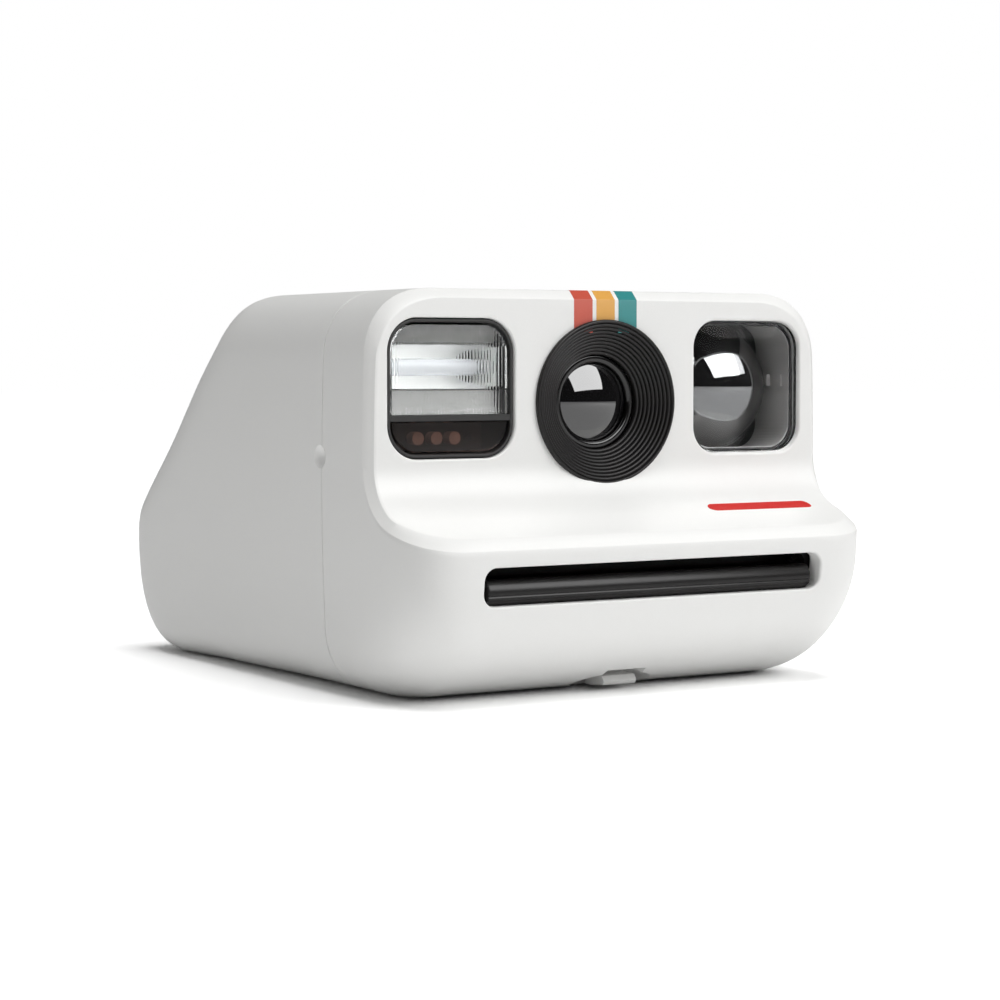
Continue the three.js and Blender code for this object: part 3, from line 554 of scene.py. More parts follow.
def circle_outline(radius, count=96):
    """A circle as count points."""
    turn = np.arange(count) / count * 2 * np.pi
    return radius * np.stack([np.cos(turn), np.sin(turn)], axis=1)


def grown(outline, margin):
    """The outline moved outwards by a margin, along the normals of its closed polygon."""
    ahead = np.roll(outline, -1, axis=0) - outline
    behind = outline - np.roll(outline, 1, axis=0)
    along = ahead / np.linalg.norm(ahead, axis=1)[:, None] + behind / np.linalg.norm(behind, axis=1)[:, None]
    along /= np.linalg.norm(along, axis=1)[:, None]
    return outline + margin * np.stack([along[:, 1], -along[:, 0]], axis=1)


def stack(outline, steps, place):
    """Rows of an outline grown by each step's margin, at each step's depth, put in place.

    steps is a list of (depth, margin). place turns (u, v, depth) into x, y, z in millimetres.
    """
    rows = []
    for depth, margin in steps:
        flat = grown(outline, margin) if margin else outline
        rows.append(place(flat[:, 0], flat[:, 1], np.full(len(flat), float(depth))))
    return np.array(rows)


def flared(edge, reach, out=1.0, count=6):
    """The steps of a hole with a round edge: straight to the fillet, then opening outwards."""
    turn = np.linspace(0, np.pi / 2, count)
    fillet = [(-edge + edge * math.sin(t), edge - edge * math.cos(t)) for t in turn]
    return [(-reach, 0.0), *fillet, (out, edge)]


def facing_front(x, z, y):
    """Places a shape on the front: u along X, v up, depth towards the front from y."""
    def place(u, v, depth):
        return np.stack([x + u, y - depth, z + v], axis=-1)
    return place


def facing_up(x, y, z):
    """Places a shape on the top: u along X, v along Y, depth upwards from z."""
    def place(u, v, depth):
        return np.stack([x + u, y + v, z + depth], axis=-1)
    return place


def facing_side(side, y, z):
    """Places a shape on a side wall: u along Y, v up, depth outwards from it."""
    def place(u, v, depth):
        return np.stack([side * (HALF_WIDTH + depth), y + u, z + v], axis=-1)
    return place


def on_slope(x, z):
    """Places a shape on the sloping back: u towards -X, v up the slope, depth out of it."""
    half = math.sqrt(0.5)

    def place(u, v, depth):
        return np.stack([x - u, SLOPE_SUM - z + half * (depth - v), z + half * (v + depth)], axis=-1)
    return place


def pocket(name, outline, steps, place):
    """A closed cutter or piece from a stacked outline."""
    return closed_mesh(name, stack(outline, steps, place))


print("a round cornered outline has", len(rounded_outline(2, 1, 0.5)), "points")


# %% [markdown]
# ## Cutting the shells
# A real mould has cores where the windows, the slot and the buttons go. Here each core is a
# closed solid whose outline opens out at the surface, so the cut leaves a small round edge,
# which is what catches the light on a moulded part.

# %% Openings in the shells
WINDOW_X = 27.34
WINDOW_Z = 46.56
WINDOW_HALF_HEIGHT = 10.52
FLASH_HALF_WIDTH = 10.98
FINDER_HALF_WIDTH = 10.42
FLASH_CORNER = 5.1
FINDER_CORNER = 4.3
SLOT_HALF_WIDTH = 30.57
SLOT_Z = 17.95
SLOT_HALF_HEIGHT = 2.85
SLOT_CORNER = 2.0
RING_SEAT = 12.0
DISH = {"y": -22.5, "z": 36.2, "radius": 2.6, "reach": 43.8}
SHUTTER = middle("shutter_button")
FLASH_BUTTON = middle("flash_button")
EYEPIECE_X = 29.5
SLOPE_Z = 46.5
POWER_X = -24.6
DOOR_HALF_WIDTH = 31.0


def on_chin(u, v, depth):
    """Places a shape on the drafted chin: u along X, v up from the slot's middle, depth forwards."""
    z = SLOT_Z + v
    y = -HALF_DEPTH + CHIN_DRAFT * np.clip(DRAFT_TOP - z, 0, None) ** 2 - depth
    return np.stack([u, y, z], axis=-1)


def ball(name, centre, radii, rings=28, columns=56):
    """An ellipsoid: circles of latitude, from pole to pole."""
    tilt = np.linspace(0.03, np.pi - 0.03, rings)[:, None]
    turn = np.arange(columns)[None, :] / columns * 2 * np.pi
    rows = np.stack([radii[0] * np.sin(tilt) * np.cos(turn), radii[1] * np.sin(tilt) * np.sin(turn),
                     radii[2] * np.cos(tilt) + 0 * turn], axis=-1)
    return closed_mesh(name, rows + np.array(centre))


def prism(name, outline, start, end, place):
    """A closed prism: an outline carried straight from the start depth to the end depth."""
    return pocket(name, outline, [(start, 0.0), (end, 0.0)], place)


def box_outline(low_u, high_u, low_v, high_v):
    """A plain rectangle's four corners."""
    return np.array([(low_u, low_v), (high_u, low_v), (high_u, high_v), (low_u, high_v)], float)


def along_x(u, v, depth):
    """Places a profile drawn in Y and Z, carried along X."""
    return np.stack([depth, u, v], axis=-1)


flash_outline = rounded_outline(FLASH_HALF_WIDTH, WINDOW_HALF_HEIGHT, FLASH_CORNER, 20)
finder_outline = rounded_outline(FINDER_HALF_WIDTH, WINDOW_HALF_HEIGHT, FINDER_CORNER, 20)
slot_outline = rounded_outline(SLOT_HALF_WIDTH, SLOT_HALF_HEIGHT, SLOT_CORNER)


def side_dishes():
    """A ball on each side, whose tip leaves a small round dish in the wall."""
    return [ball(f"{name}_dish", (side * DISH["reach"], DISH["y"], DISH["z"]), [DISH["radius"]] * 3)
            for name, side in (("left", -1), ("right", 1))]


flash_place = facing_front(-WINDOW_X, WINDOW_Z, FACE_Y)
finder_place = facing_front(WINDOW_X, WINDOW_Z, FACE_Y)
ring_place = facing_front(0, LENS_Z, FACE_Y)

latch_pad = np.array([(-46, 6.1), (-43, 3.9), (-40, 2.5), (-35, 1.4), (-35, 5.6), (-46, 8.6)], float)
cut(front_shell, [prism("latch_pad", latch_pad, -9.5, 9.5, along_x)], "UNION")
cut(front_shell, [
    pocket("flash_core", flash_outline, flared(0.3, 10.6), flash_place),
    pocket("finder_core", finder_outline, flared(0.45, 11.3), finder_place),
    pocket("ring_core", circle_outline(RING_SEAT + 0.3), flared(0.2, 3.4), ring_place),
    pocket("slot_core", slot_outline, flared(0.4, 6.0), on_chin),
    ball("thumb_scoop", (0, -39.5, 0.3), (7.5, 6, 3)),
    prism("latch_core", box_outline(-43.5, -34.9, -1, 3.8), -3.6, 3.6, along_x),
    prism("door_core", box_outline(-35, -20, -1, 3.2), -DOOR_HALF_WIDTH, DOOR_HALF_WIDTH, along_x),
    *side_dishes(),
])
slope_place = on_slope(0, SLOPE_Z)
cut(rear_shell, [
    pocket("shutter_core", circle_outline(5.7), flared(0.4, 4), facing_up(SHUTTER[0], SHUTTER[1], HEIGHT)),
    pocket("flash_key_core", circle_outline(2.6, 48), flared(0.3, 4),
           facing_up(FLASH_BUTTON[0], FLASH_BUTTON[1], HEIGHT)),
    pocket("eyepiece_core", rounded_outline(6.75, 6.15, 2), flared(0.4, 5), on_slope(EYEPIECE_X, SLOPE_Z)),
    pocket("counter_core", rounded_outline(5.15, 2.65, 1), flared(0.3, 5), slope_place),
    pocket("power_core", circle_outline(2.8, 48), flared(0.3, 5), on_slope(POWER_X, SLOPE_Z)),
    pocket("usb_core", rounded_outline(4.8, 1.9, 1.7), flared(0.3, 4), facing_side(1, 8, 22)),
    prism("door_core", box_outline(-26, 38.2, -1, 3.2), -DOOR_HALF_WIDTH, DOOR_HALF_WIDTH, along_x),
    prism("pin_core", circle_outline(0.7, 24) + (36.6, 1.6), -33.5, 33.5, along_x),
    *side_dishes(),
])
print("cut skins:", len(front_shell.data.polygons), "and", len(rear_shell.data.polygons), "faces")


# %% [markdown]
# ## The finishes
# Nearly every piece is moulded plastic, and the eye tells one from another by how sharp its
# reflections are. A scanned texture would be too coarse this close, so each finish is procedural:
# a noise at the mould's real grain size moves the colour, the roughness and the relief a little.

# %% Finishes
def finish(name, colour, other, roughness, spread, grain, relief, **settings):
    """A Principled finish whose colour, roughness and relief wander with a noise.

    grain is the noise's size in mm, relief the height of its bumps in mm, and spread how far
    the roughness goes to each side. The rest are the shader's own sockets.
    """
    material, tree = blank(name)
    place = node(tree, "ShaderNodeTexCoord")
    noise = node(tree, "ShaderNodeTexNoise", {"Scale": 1 / (grain * MM), "Detail": 3.0},
                 {"Vector": place.outputs["Object"]})
    tint = node(tree, "ShaderNodeMix", {"data_type": "RGBA", 6: linear(colour), 7: linear(other)},
                {0: noise.outputs["Fac"]})
    rough = node(tree, "ShaderNodeMapRange", {"To Min": roughness - spread, "To Max": roughness + spread},
                 {"Value": noise.outputs["Fac"]})
    bump = node(tree, "ShaderNodeBump", {"Strength": 1.0, "Distance": relief * MM},
                {"Height": noise.outputs["Fac"]})
    sockets = {key.replace("_", " "): value for key, value in settings.items()}
    shader = node(tree, "ShaderNodeBsdfPrincipled", sockets,
                  {"Base Color": tint.outputs[2], "Roughness": rough.outputs[0], "Normal": bump.outputs[0]})
    shown(tree, shader)
    return material


# ABS, moulded against fine spark-eroded steel: a silky white with no sharp reflections.
white_abs = finish("abs_white_moulded", "#f5f5f3", "#f1f1ef", 0.40, 0.05, 0.22, 0.003, IOR=1.53)
# The same ABS in black, a little smoother: grey sheen on the ridges, black in the grooves.
black_abs = finish("abs_black_satin", "#1e1c1c", "#181616", 0.40, 0.05, 0.18, 0.004, IOR=1.53,
                   Specular_IOR_Level=0.32)
# Polished black polycarbonate: thin bright arcs where its edges turn.
gloss_black = finish("polycarbonate_black_polished", "#0a0909", "#0d0c0c", 0.12, 0.03, 0.5, 0.0005,
                     IOR=1.58)
# Matt black polystyrene, textured so that no stray light reaches the film.
inner_black = finish("polystyrene_black_matt", "#151414", "#0e0d0d", 0.62, 0.08, 0.3, 0.01, IOR=1.59)
# Red ABS, moulded through: the only strong colour on the shell.
red_abs = finish("abs_red_moulded", "#c9281f", "#c0231b", 0.36, 0.05, 0.2, 0.003, IOR=1.53)
# Pad printed ink: flat and even, a touch less glossy than the plastic.
ink_clay = finish("pad_ink_clay", "#c9543f", "#c34e3a", 0.45, 0.04, 0.15, 0.001)
ink_sand = finish("pad_ink_sand", "#e3a94f", "#dfa349", 0.45, 0.04, 0.15, 0.001)
ink_teal = finish("pad_ink_teal", "#2b8c8c", "#278585", 0.45, 0.04, 0.15, 0.001)
ink_red = finish("pad_ink_red", "#cf2a24", "#c8241f", 0.55, 0.04, 0.15, 0.001, Specular_IOR_Level=0.2)
# Acrylic, moulded clear and polished: seen only by its edges and its reflections.
clear_acrylic = finish("acrylic_clear_moulded", "#fbfcfc", "#f4f6f6", 0.02, 0.01, 1.5, 0.0004,
                       IOR=1.49, Transmission_Weight=1.0)
# Optical glass with dark coatings: black, with crisp reflections. Its four surfaces reflect as one.
lens_glass = finish("glass_coated", "#0b0a0c", "#080709", 0.03, 0.01, 2.0, 0.0001,
                    IOR=1.95, Coat_Weight=0.4, Coat_Roughness=0.03)
# Smoked acrylic: brown black, passing infrared light to the sensors behind it. Its low IOR stands
# for an anti-reflection coat.
smoked_acrylic = finish("acrylic_smoked_polished", "#826d65", "#7b6760", 0.03, 0.01, 1.0, 0.0003,
                        IOR=1.33, Transmission_Weight=1.0)
# Sensor domes of tinted epoxy behind the smoked window.
epoxy_tinted = finish("epoxy_tinted_cast", "#f0e4dc", "#e2d5cc", 0.25, 0.08, 0.4, 0.002, IOR=1.55)
# Bright anodised aluminium sheet: the flash reflector, soft white with faint rolling marks.
bright_aluminium = finish("aluminium_bright_anodised", "#fdfdfc", "#f7f7f5", 0.34, 0.06, 0.9, 0.002,
                          Metallic=0.55)
# Grey for the reflector's walls above and below its trough, darker than the aluminium: painted shade. Pale
# under the ribs, and darker where it faces down.
reflector_painted_shade = finish("reflector_walls_painted_shade", "#747371", "#6b6a68", 0.28, 0.05, 0.3, 0.002, IOR=1.58)
# Front-silvered glass: the mirror that folds the light down on the film.
silvered = finish("mirror_front_silvered", "#eef0f1", "#e8ebec", 0.03, 0.01, 2.5, 0.0002, Metallic=1.0)
# Turned and polished steel pins, rollers and screws.
turned_steel = finish("steel_turned", "#c3c2bf", "#aeada9", 0.26, 0.08, 0.12, 0.002, Metallic=1.0)
# Steel rollers coloured dark: painted shade, so the slot reads black inside, with a dull dark sheen.
painted_shade_steel = finish("steel_painted_shade_dark", "#3a3938", "#2e2d2c", 0.48, 0.08, 0.2, 0.003, Metallic=0.9)
# Natural nylon gears: milky and slightly waxy.
nylon = finish("nylon_moulded", "#e9e5d9", "#ddd8c8", 0.42, 0.06, 0.3, 0.003, IOR=1.53)
# Black polyurethane foam: tiny open cells that swallow light.
foam = finish("polyurethane_foam_black", "#1c1b1b", "#0c0b0b", 0.92, 0.05, 0.35, 0.08)
# Glass fibre board under green solder mask, with the weave faintly raised.
board = finish("fibreglass_board_masked", "#1f5a3a", "#174a2f", 0.33, 0.1, 0.6, 0.01, IOR=1.5)
# Printed steel foil round the cell and the capacitor can.
foil = finish("foil_sleeve_printed", "#8d9196", "#7c8086", 0.3, 0.08, 0.8, 0.004, Metallic=0.8)
# Black polyester sheet rolled into the film shield: long soft highlights.
black_sheet = finish("polyester_sheet_black", "#191717", "#141212", 0.30, 0.05, 0.5, 0.002, IOR=1.6,
                     Specular_IOR_Level=0.25)
# Tungsten-ended flash tube: fused quartz.
quartz = finish("quartz_tube_drawn", "#f7f8fa", "#eceef2", 0.03, 0.01, 0.8, 0.0005,
                IOR=1.46, Transmission_Weight=0.6)
print(len(bpy.data.materials), "finishes")

# %% [markdown]
# ## Floor
# A pale table top that keeps only the soft shadow under the camera. To the eye it is two fifths
# brighter than to the things on it, as over-lit paper is, so that it runs into the background.

# %% Floor
FLOOR_RADIUS = 4.0
PAPER_GAIN = 1.42
turn = np.arange(96) / 96 * 2 * np.pi
disc = np.stack([np.cos(turn), np.sin(turn), 0 * turn], axis=1) * FLOOR_RADIUS
floor_mesh = bpy.data.meshes.new("table_top")
floor_mesh.from_pydata([tuple(p) for p in disc.tolist()], [], [tuple(range(96))])
table = put("table_top", floor_mesh)
paper_white, tree = blank("paper_white")
place = node(tree, "ShaderNodeTexCoord")
fibre = node(tree, "ShaderNodeTexNoise", {"Scale": 900.0}, {"Vector": place.outputs["Object"]})
tone = node(tree, "ShaderNodeMix", {"data_type": "RGBA", 6: linear("#fbfbfb"), 7: linear("#f8f8f8")},
            {0: fibre.outputs["Fac"]})
path = node(tree, "ShaderNodeLightPath")
gain = node(tree, "ShaderNodeMapRange", {"To Min": 1.0, "To Max": PAPER_GAIN},
            {"Value": path.outputs["Is Camera Ray"]})
lit = node(tree, "ShaderNodeVectorMath", {"operation": "SCALE"},
           {0: tone.outputs[2], "Scale": gain.outputs[0]})
shown(tree, node(tree, "ShaderNodeBsdfDiffuse", links={"Color": lit.outputs[0]}))
table.data.materials.append(paper_white)
print("table radius", FLOOR_RADIUS, "m")


# %% [markdown]
# ## Turned parts: the lens
# The ring round the lens is a cone that narrows inwards in nine rounded ridges. Each is a small
# half round with a sharp groove beside it. They could be nine tori, but a turned profile with a
# repeating arch is one surface, as it is in the mould.

# %% Lens ring, barrel and glass
def turned(name, profile, x, z, count=160, ends=False):
    """A profile of (radius, y) points spun about an axis along Y through (x, z)."""
    profile = np.asarray(profile, float)
    turn = np.arange(count)[None, :] / count * 2 * np.pi
    radius = profile[:, 0][:, None]
    rows = np.stack([x + radius * np.cos(turn), profile[:, 1][:, None] + 0 * turn,
                     z + radius * np.sin(turn)], axis=-1)
    return closed_mesh(name, rows, ends=ends, wrap_rows=not ends)


def arc(centre, radius, start, end, count=10):
    """Points on an arc, with its angles in degrees."""
    turn = np.radians(np.linspace(start, end, count))
    return np.stack([centre[0] + radius * np.cos(turn), centre[1] + radius * np.sin(turn)], axis=1)


RING_FRONT = FACE_Y - 0.7
RIDGES = 9
RIDGE_HEIGHT = 0.34
t = np.linspace(0, 1, RIDGES * 12 + 1)
within = t * RIDGES % 1
arch = np.sqrt(np.clip(1 - (2 * within - 1) ** 2, 0, 1))
cone_r = 12.15 - 4.75 * t
cone_y = RING_FRONT + 0.42 + 3.0 * t
cone = np.stack([cone_r - 0.45 * RIDGE_HEIGHT * arch, cone_y - 0.8 * RIDGE_HEIGHT * arch], axis=1)
ring_profile = np.concatenate([
    [(RING_SEAT, FACE_Y - 0.02), (12.73, FACE_Y - 0.02)],
    arc((12.43, RING_FRONT + 0.3), 0.3, 0, -120, 8),
    cone,
    [(7.4, -34.1), (RING_SEAT, -34.1)],
])
lens_ring = put("lens_ring_turned", turned("lens_ring_turned", ring_profile, 0, LENS_Z, 200))
finish_piece(lens_ring, black_abs, "camera_body", "black_abs", ("lens_ring",), 50)

BARREL_FRONT = -34.3
barrel_profile = np.concatenate([
    [(7.3, -24)], arc((7.0, BARREL_FRONT + 0.3), 0.3, 0, -90, 6),
    arc((6.62, BARREL_FRONT + 0.5), 0.5, -90, -180, 9),
    [(6.1, -33.3), (6.1, -24)],
])
barrel = put("lens_barrel_polished", turned("lens_barrel_polished", barrel_profile, 0, LENS_Z, 160))
finish_piece(barrel, gloss_black, "camera_body", "black_abs", ("lens_barrel",), 50)

GLASS_RADIUS = 12.0
GLASS_APEX = -35.3
glass_r = np.linspace(0.05, 5.95, 40)
glass_y = GLASS_APEX + GLASS_RADIUS - np.sqrt(GLASS_RADIUS ** 2 - glass_r ** 2)
glass_profile = np.concatenate([np.stack([glass_r, glass_y], axis=1),
                                [(5.95, -31.6), (5.7, -31.4), (0.05, -31.4)]])
glass = put("front_lens_dome", turned("front_lens_dome", glass_profile, 0, LENS_Z, 128, ends=True))
finish_piece(glass, lens_glass, "camera_body", "lens_glass", ("front_lens",), 40)


# %% [markdown]
# ## Bands and dash
# The bands are ink on the shell, about as thick as a hair is wide. Each is a thin strip that
# follows the face, turns over the chamfer and runs back along the top.

# %% Bands and dash
BAND_WIDTH = 3.4
BAND_PITCH = 4.1
INK = 0.018
BAND_ENDS = (55.0, 56.6, 55.0)
band_path = np.array([(FACE_Y, BAND_ENDS[1]), (FACE_Y, 60.0), (FACE_Y + 0.03, HEIGHT - EDGE_CHAMFER + 0.02),
                      (FACE_Y + EDGE_CHAMFER - 0.03, HEIGHT - 0.02),
                      (FACE_Y + EDGE_CHAMFER + 0.12, HEIGHT),
                      (-30, HEIGHT), (SEAM_Y - 0.2, HEIGHT)], float)
raised = np.array([(-1, 0), (-1, 0), (-0.92, 0.38), (-0.38, 0.92), (0, 1), (0, 1), (0, 1)], float)
for index, (name, ink) in enumerate((("clay", ink_clay), ("sand", ink_sand), ("teal", ink_teal))):
    left = (index - 1) * BAND_PITCH - BAND_WIDTH / 2
    band_path[0, 1] = BAND_ENDS[index]
    band_section = np.concatenate([band_path + INK * raised, (band_path - 0.3 * raised)[::-1]])
    band = put(f"band_{name}", prism(f"band_{name}", band_section, left, left + BAND_WIDTH, along_x))
    finish_piece(band, ink, "camera_body", f"ink_{name}", (f"stripe_{name}",), 30)


def on_hollow(x, s):
    """Places a shape on the hollow face: u along X, v up it from s, depth out of the surface."""
    def place(u, v, depth):
        return face_point(x + u, s - v, -depth)
    return place


dash_outline = rounded_outline(10, 1.2, 1.19, 16)
dash = put("hollow_dash_ink", prism("hollow_dash_ink", dash_outline, -0.25, INK, on_hollow(26, 36)))
finish_piece(dash, ink_red, "camera_body", "ink_red", ("shelf_dash",), 30)


# %% [markdown]
# ## The flash
# Behind the ribbed acrylic lie a bright trough and a quartz tube. The ribs are small cylinders
# side by side, half a millimetre apart, that spread the light sideways. They are cut as real
# relief, because they bend what is seen through them, which a bump map can't do.

# %% Flash window, reflector and tube
flash_low, flash_high = low("flash_window"), high("flash_window")
RIB_PITCH = 0.5
RIB_DEPTH = 0.09


def ribbed_plate(name, x0, x1, z0, z1, corner, y_front, y_back, columns):
    """A plate whose front is a row of half round ribs: y falls with the sine of x over each rib.

    Its top corners are round: the top edge drops by a quarter circle within corner of each side.
    """
    x = np.linspace(x0, x1, columns)
    rib = np.abs(np.sin(np.pi * (x - x0) / RIB_PITCH)) * RIB_DEPTH
    inside = np.clip(corner - np.minimum(x - x0, x1 - x), 0, corner)
    top = z1 - corner + np.sqrt(corner ** 2 - inside ** 2)
    bottom = np.full_like(x, z0)
    edge = 0.12
    front_y = y_front + RIB_DEPTH - rib
    loop = [np.stack([x, np.full_like(x, y_back), bottom], 1),
            np.stack([x, y_front + edge + 0 * x, bottom], 1),
            np.stack([x, front_y, bottom + edge], 1)]
    loop += [np.stack([x, front_y, between(bottom + edge, top - edge, share)], 1)
             for share in (0.33, 0.67)]
    loop += [np.stack([x, front_y, top - edge], 1),
             np.stack([x, y_front + edge + 0 * x, top], 1),
             np.stack([x, np.full_like(x, y_back), top], 1)]
    rows = np.array(loop).transpose(1, 0, 2)
    return closed_mesh(name, rows)


ribbed = put("flash_window_ribbed", ribbed_plate(
    "flash_window_ribbed", flash_low[0], flash_high[0], flash_low[2], flash_high[2], 4.1,
    flash_low[1], flash_high[1], 481))
ribbed.visible_shadow = False
finish_piece(ribbed, clear_acrylic, "camera_body", "clear_plastic", ("flash_window",), 40)

trough_low, trough_high = low("flash_reflector"), high("flash_reflector")
TROUGH_Z = (46.5, 53.0)
LIP_Y = -33.6
trough_z = np.linspace(*TROUGH_Z, 28)
share = (trough_z - sum(TROUGH_Z) / 2) / (TROUGH_Z[1] - TROUGH_Z[0]) * 2
trough_y = trough_high[1] - 0.35 - (trough_high[1] - LIP_Y - 0.35) * np.abs(share) ** 2.2
inner = np.stack([trough_y, trough_z], axis=1)
thicker = np.stack([np.full(len(inner), 0.3), np.sign(inner[:, 1] - 49.75) * 0.15], axis=1)
section = np.concatenate([inner, (inner + thicker)[::-1]])
TROUGH_DEPTH = 5.6
END_LEANS = {-1: 1.6, 1: 1.0}
ends = []
for side, x in ((-1, trough_low[0]), (1, trough_high[0])):
    lean = END_LEANS[side]
    wall = np.array([(-0.1, 0), (0.2, 0), (0.2 - lean, TROUGH_DEPTH), (-0.1 - lean, TROUGH_DEPTH)], float)
    place_wall = [np.stack([x + side * wall[:, 0], trough_low[1] + 0.3 + wall[:, 1], np.full(4, z)], 1)
                  for z in (TROUGH_Z[0] + 0.3, TROUGH_Z[1] - 0.3)]
    ends.append(closed_mesh("trough_end", np.array(place_wall)))
trough = put("flash_trough", joined("flash_trough", [
    prism("trough", section, trough_low[0], trough_high[0], along_x), *ends]))
finish_piece(trough, bright_aluminium, "camera_body", "reflector", ("flash_reflector",), 40)

# The panels are the reflector's outer walls, coloured grey as painted shade.
PANEL_FRONT = -34.75
PANEL_LEAN = 0.5
panels = put("flash_panels", joined("flash_panels", [
    prism("panel", np.array([(PANEL_FRONT, z0), (PANEL_FRONT + PANEL_LEAN, z1),
                             (PANEL_FRONT + 2 * PANEL_LEAN, z1), (PANEL_FRONT + PANEL_LEAN, z0)], float),
          trough_low[0], trough_high[0], along_x)
    for z0, z1 in ((42.9, 46.3), (55.9, 53.2))]))
finish_piece(panels, reflector_painted_shade, "camera_body", "reflector", (), 40)

MOUNT_X = (-19.7, -18.5)
MOUNT_Y = (-31.4, -29.4)
mount = put("tube_mount", joined("tube_mount", [
    prism("mount", box_outline(*MOUNT_Y, z0, z1), *MOUNT_X, along_x)
    for z0, z1 in ((46.9, 48.8), (50.5, 52.6))]))
finish_piece(mount, gloss_black, "camera_body", "black_abs", (), 40)

tube_low, tube_high = low("flash_tube"), high("flash_tube")
tube_centre = middle("flash_tube")
tube_r = (tube_high[2] - tube_low[2]) / 2
half_tube = (tube_high[0] - tube_low[0]) / 2
tube_rows = []
tube_steps = [(-half_tube, 0.25), (-half_tube + 0.1, 0.5), (-half_tube + 0.6, 0.85), (-half_tube + 1.4, 1.0),
              (half_tube - 1.4, 1.0), (half_tube - 0.6, 0.85), (half_tube - 0.1, 0.5), (half_tube, 0.25)]
tube_turn = np.arange(40) / 40 * 2 * np.pi
for along, share in tube_steps:
    tube_rows.append(np.stack([np.full(40, tube_centre[0] + along),
                               tube_centre[1] + tube_r * share * np.cos(tube_turn),
                               tube_centre[2] + tube_r * share * np.sin(tube_turn)], axis=1))
tube = put("flash_tube_drawn", closed_mesh("flash_tube_drawn", tube_rows))
tube.visible_shadow = False
finish_piece(tube, quartz, "camera_body", "clear_plastic", ("flash_tube",), 40)


# %% [markdown]
# ## The rest of the flash window
# A black frame holds the ribbed plate above and a smoked plate below. The frame is a rounded
# tube with a bar across it, and its front edge is softened so that it draws a thin light line.

# %% Flash frame and smoked plate
BEZEL_WALL = 0.55
bezel_low, bezel_high = low("flash_bezel"), high("flash_bezel")
bezel_half_width = (bezel_high[0] - bezel_low[0]) / 2
bezel_half_height = (bezel_high[2] - bezel_low[2]) / 2
bezel_front = bezel_low[1]
bezel_deep = bezel_high[1] - bezel_low[1]


def frame_rows(outline, wall, deep, soft):
    """Steps of a hollow tube: out at the back, forward, round the lip, and back inside."""
    turn = np.linspace(0, np.pi / 2, 5)
    outer = [(-soft + soft * math.sin(a), -soft + soft * math.cos(a)) for a in turn]
    inner = [(-soft + soft * math.sin(a), -wall + soft - soft * math.cos(a)) for a in turn[::-1]]
    return [(-deep, 0.0), *outer, *inner, (-deep, -wall)]


bezel_outline = rounded_outline(bezel_half_width, bezel_half_height, FLASH_CORNER - 0.15, 20)
bezel_place = facing_front(-WINDOW_X, WINDOW_Z, bezel_front)
bezel_rows = stack(bezel_outline, frame_rows(bezel_outline, BEZEL_WALL, bezel_deep, 0.22), bezel_place)
bezel = closed_mesh("flash_frame", bezel_rows, ends=False, wrap_rows=True)
BAR_Z = 42.15
bar = prism("flash_bar", rounded_outline(bezel_half_width - 0.4, 0.45, 0.2, 4), -1.6, -0.1,
            facing_front(-WINDOW_X, BAR_Z, bezel_front))
flash_frame = put("flash_frame", joined("flash_frame", [bezel, bar]))
finish_piece(flash_frame, inner_black, "camera_body", "black_abs", ("flash_bezel",), 50)

smoked_low, smoked_high = low("sensor_window"), high("sensor_window")
smoked_mid = (smoked_low[2] + smoked_high[2]) / 2
half = (smoked_high[2] - smoked_low[2]) / 2
corner_turn = np.linspace(0, np.pi / 2, 12)
CORNER = 4.2
half_w = (smoked_high[0] - smoked_low[0]) / 2
right_corner = np.stack([half_w - CORNER + CORNER * np.sin(corner_turn),
                         -half + CORNER - CORNER * np.cos(corner_turn)], axis=1)
smoked_outline = np.concatenate([right_corner, [(half_w, half), (-half_w, half)],
                                 (right_corner * (-1, 1))[::-1]])
smoked = put("sensor_plate", pocket("sensor_plate", smoked_outline,
             [(-1.0, 0), (-0.12, 0), (0, -0.12)], facing_front(-WINDOW_X, smoked_mid, smoked_low[1])))
smoked.visible_shadow = False
finish_piece(smoked, smoked_acrylic, "camera_body", "smoked_plastic", ("sensor_window",), 30)


# %% [markdown]
# ## The viewfinder
# A clear cover lies over a black tunnel with a big lens in it. A pale grey sheet along the tunnel's right
# and lower walls is painted light there. The dome mirrors the softbox above and the table below. Its two
# coated faces mirror alike, so they are written as one surface, which costs the view through it.

# %% Viewfinder pieces
cover_low, cover_high = low("viewfinder_window"), high("viewfinder_window")
cover_outline = rounded_outline((cover_high[0] - cover_low[0]) / 2,
                                (cover_high[2] - cover_low[2]) / 2, 4.25)
# Coated acrylic: nearly invisible. Its low IOR stands for an anti-reflection coat.
coated_acrylic = finish("acrylic_hard_coated", "#fafbfc", "#f5f6f7", 0.015, 0.005, 2.0, 0.0003,
                        IOR=1.15, Transmission_Weight=1.0)
# The finder's lens with its dark tunnel behind: near black, and its two faces mirror as one.
finder_glass = finish("acrylic_lens_coated", "#0b0a0a", "#080707", 0.03, 0.01, 2.0, 0.0001, IOR=3.1)
# Pale grey for the sheet on the tunnel's right and lower walls: painted light where light falls in, while
# the roof stays black.
pale_grey_painted_light = finish("finder_sheet_painted_light", "#9b9997", "#918f8d", 0.36, 0.05, 0.3, 0.004, IOR=1.59)
cover = put("finder_cover", pocket("finder_cover", cover_outline,
            [(-1.2, 0), (-0.25, 0), (-0.07, -0.08), (0, -0.25)],
            facing_front(WINDOW_X, WINDOW_Z, cover_low[1])))
cover.visible_shadow = False
finish_piece(cover, coated_acrylic, "camera_body", "clear_plastic", ("viewfinder_window",), 30)

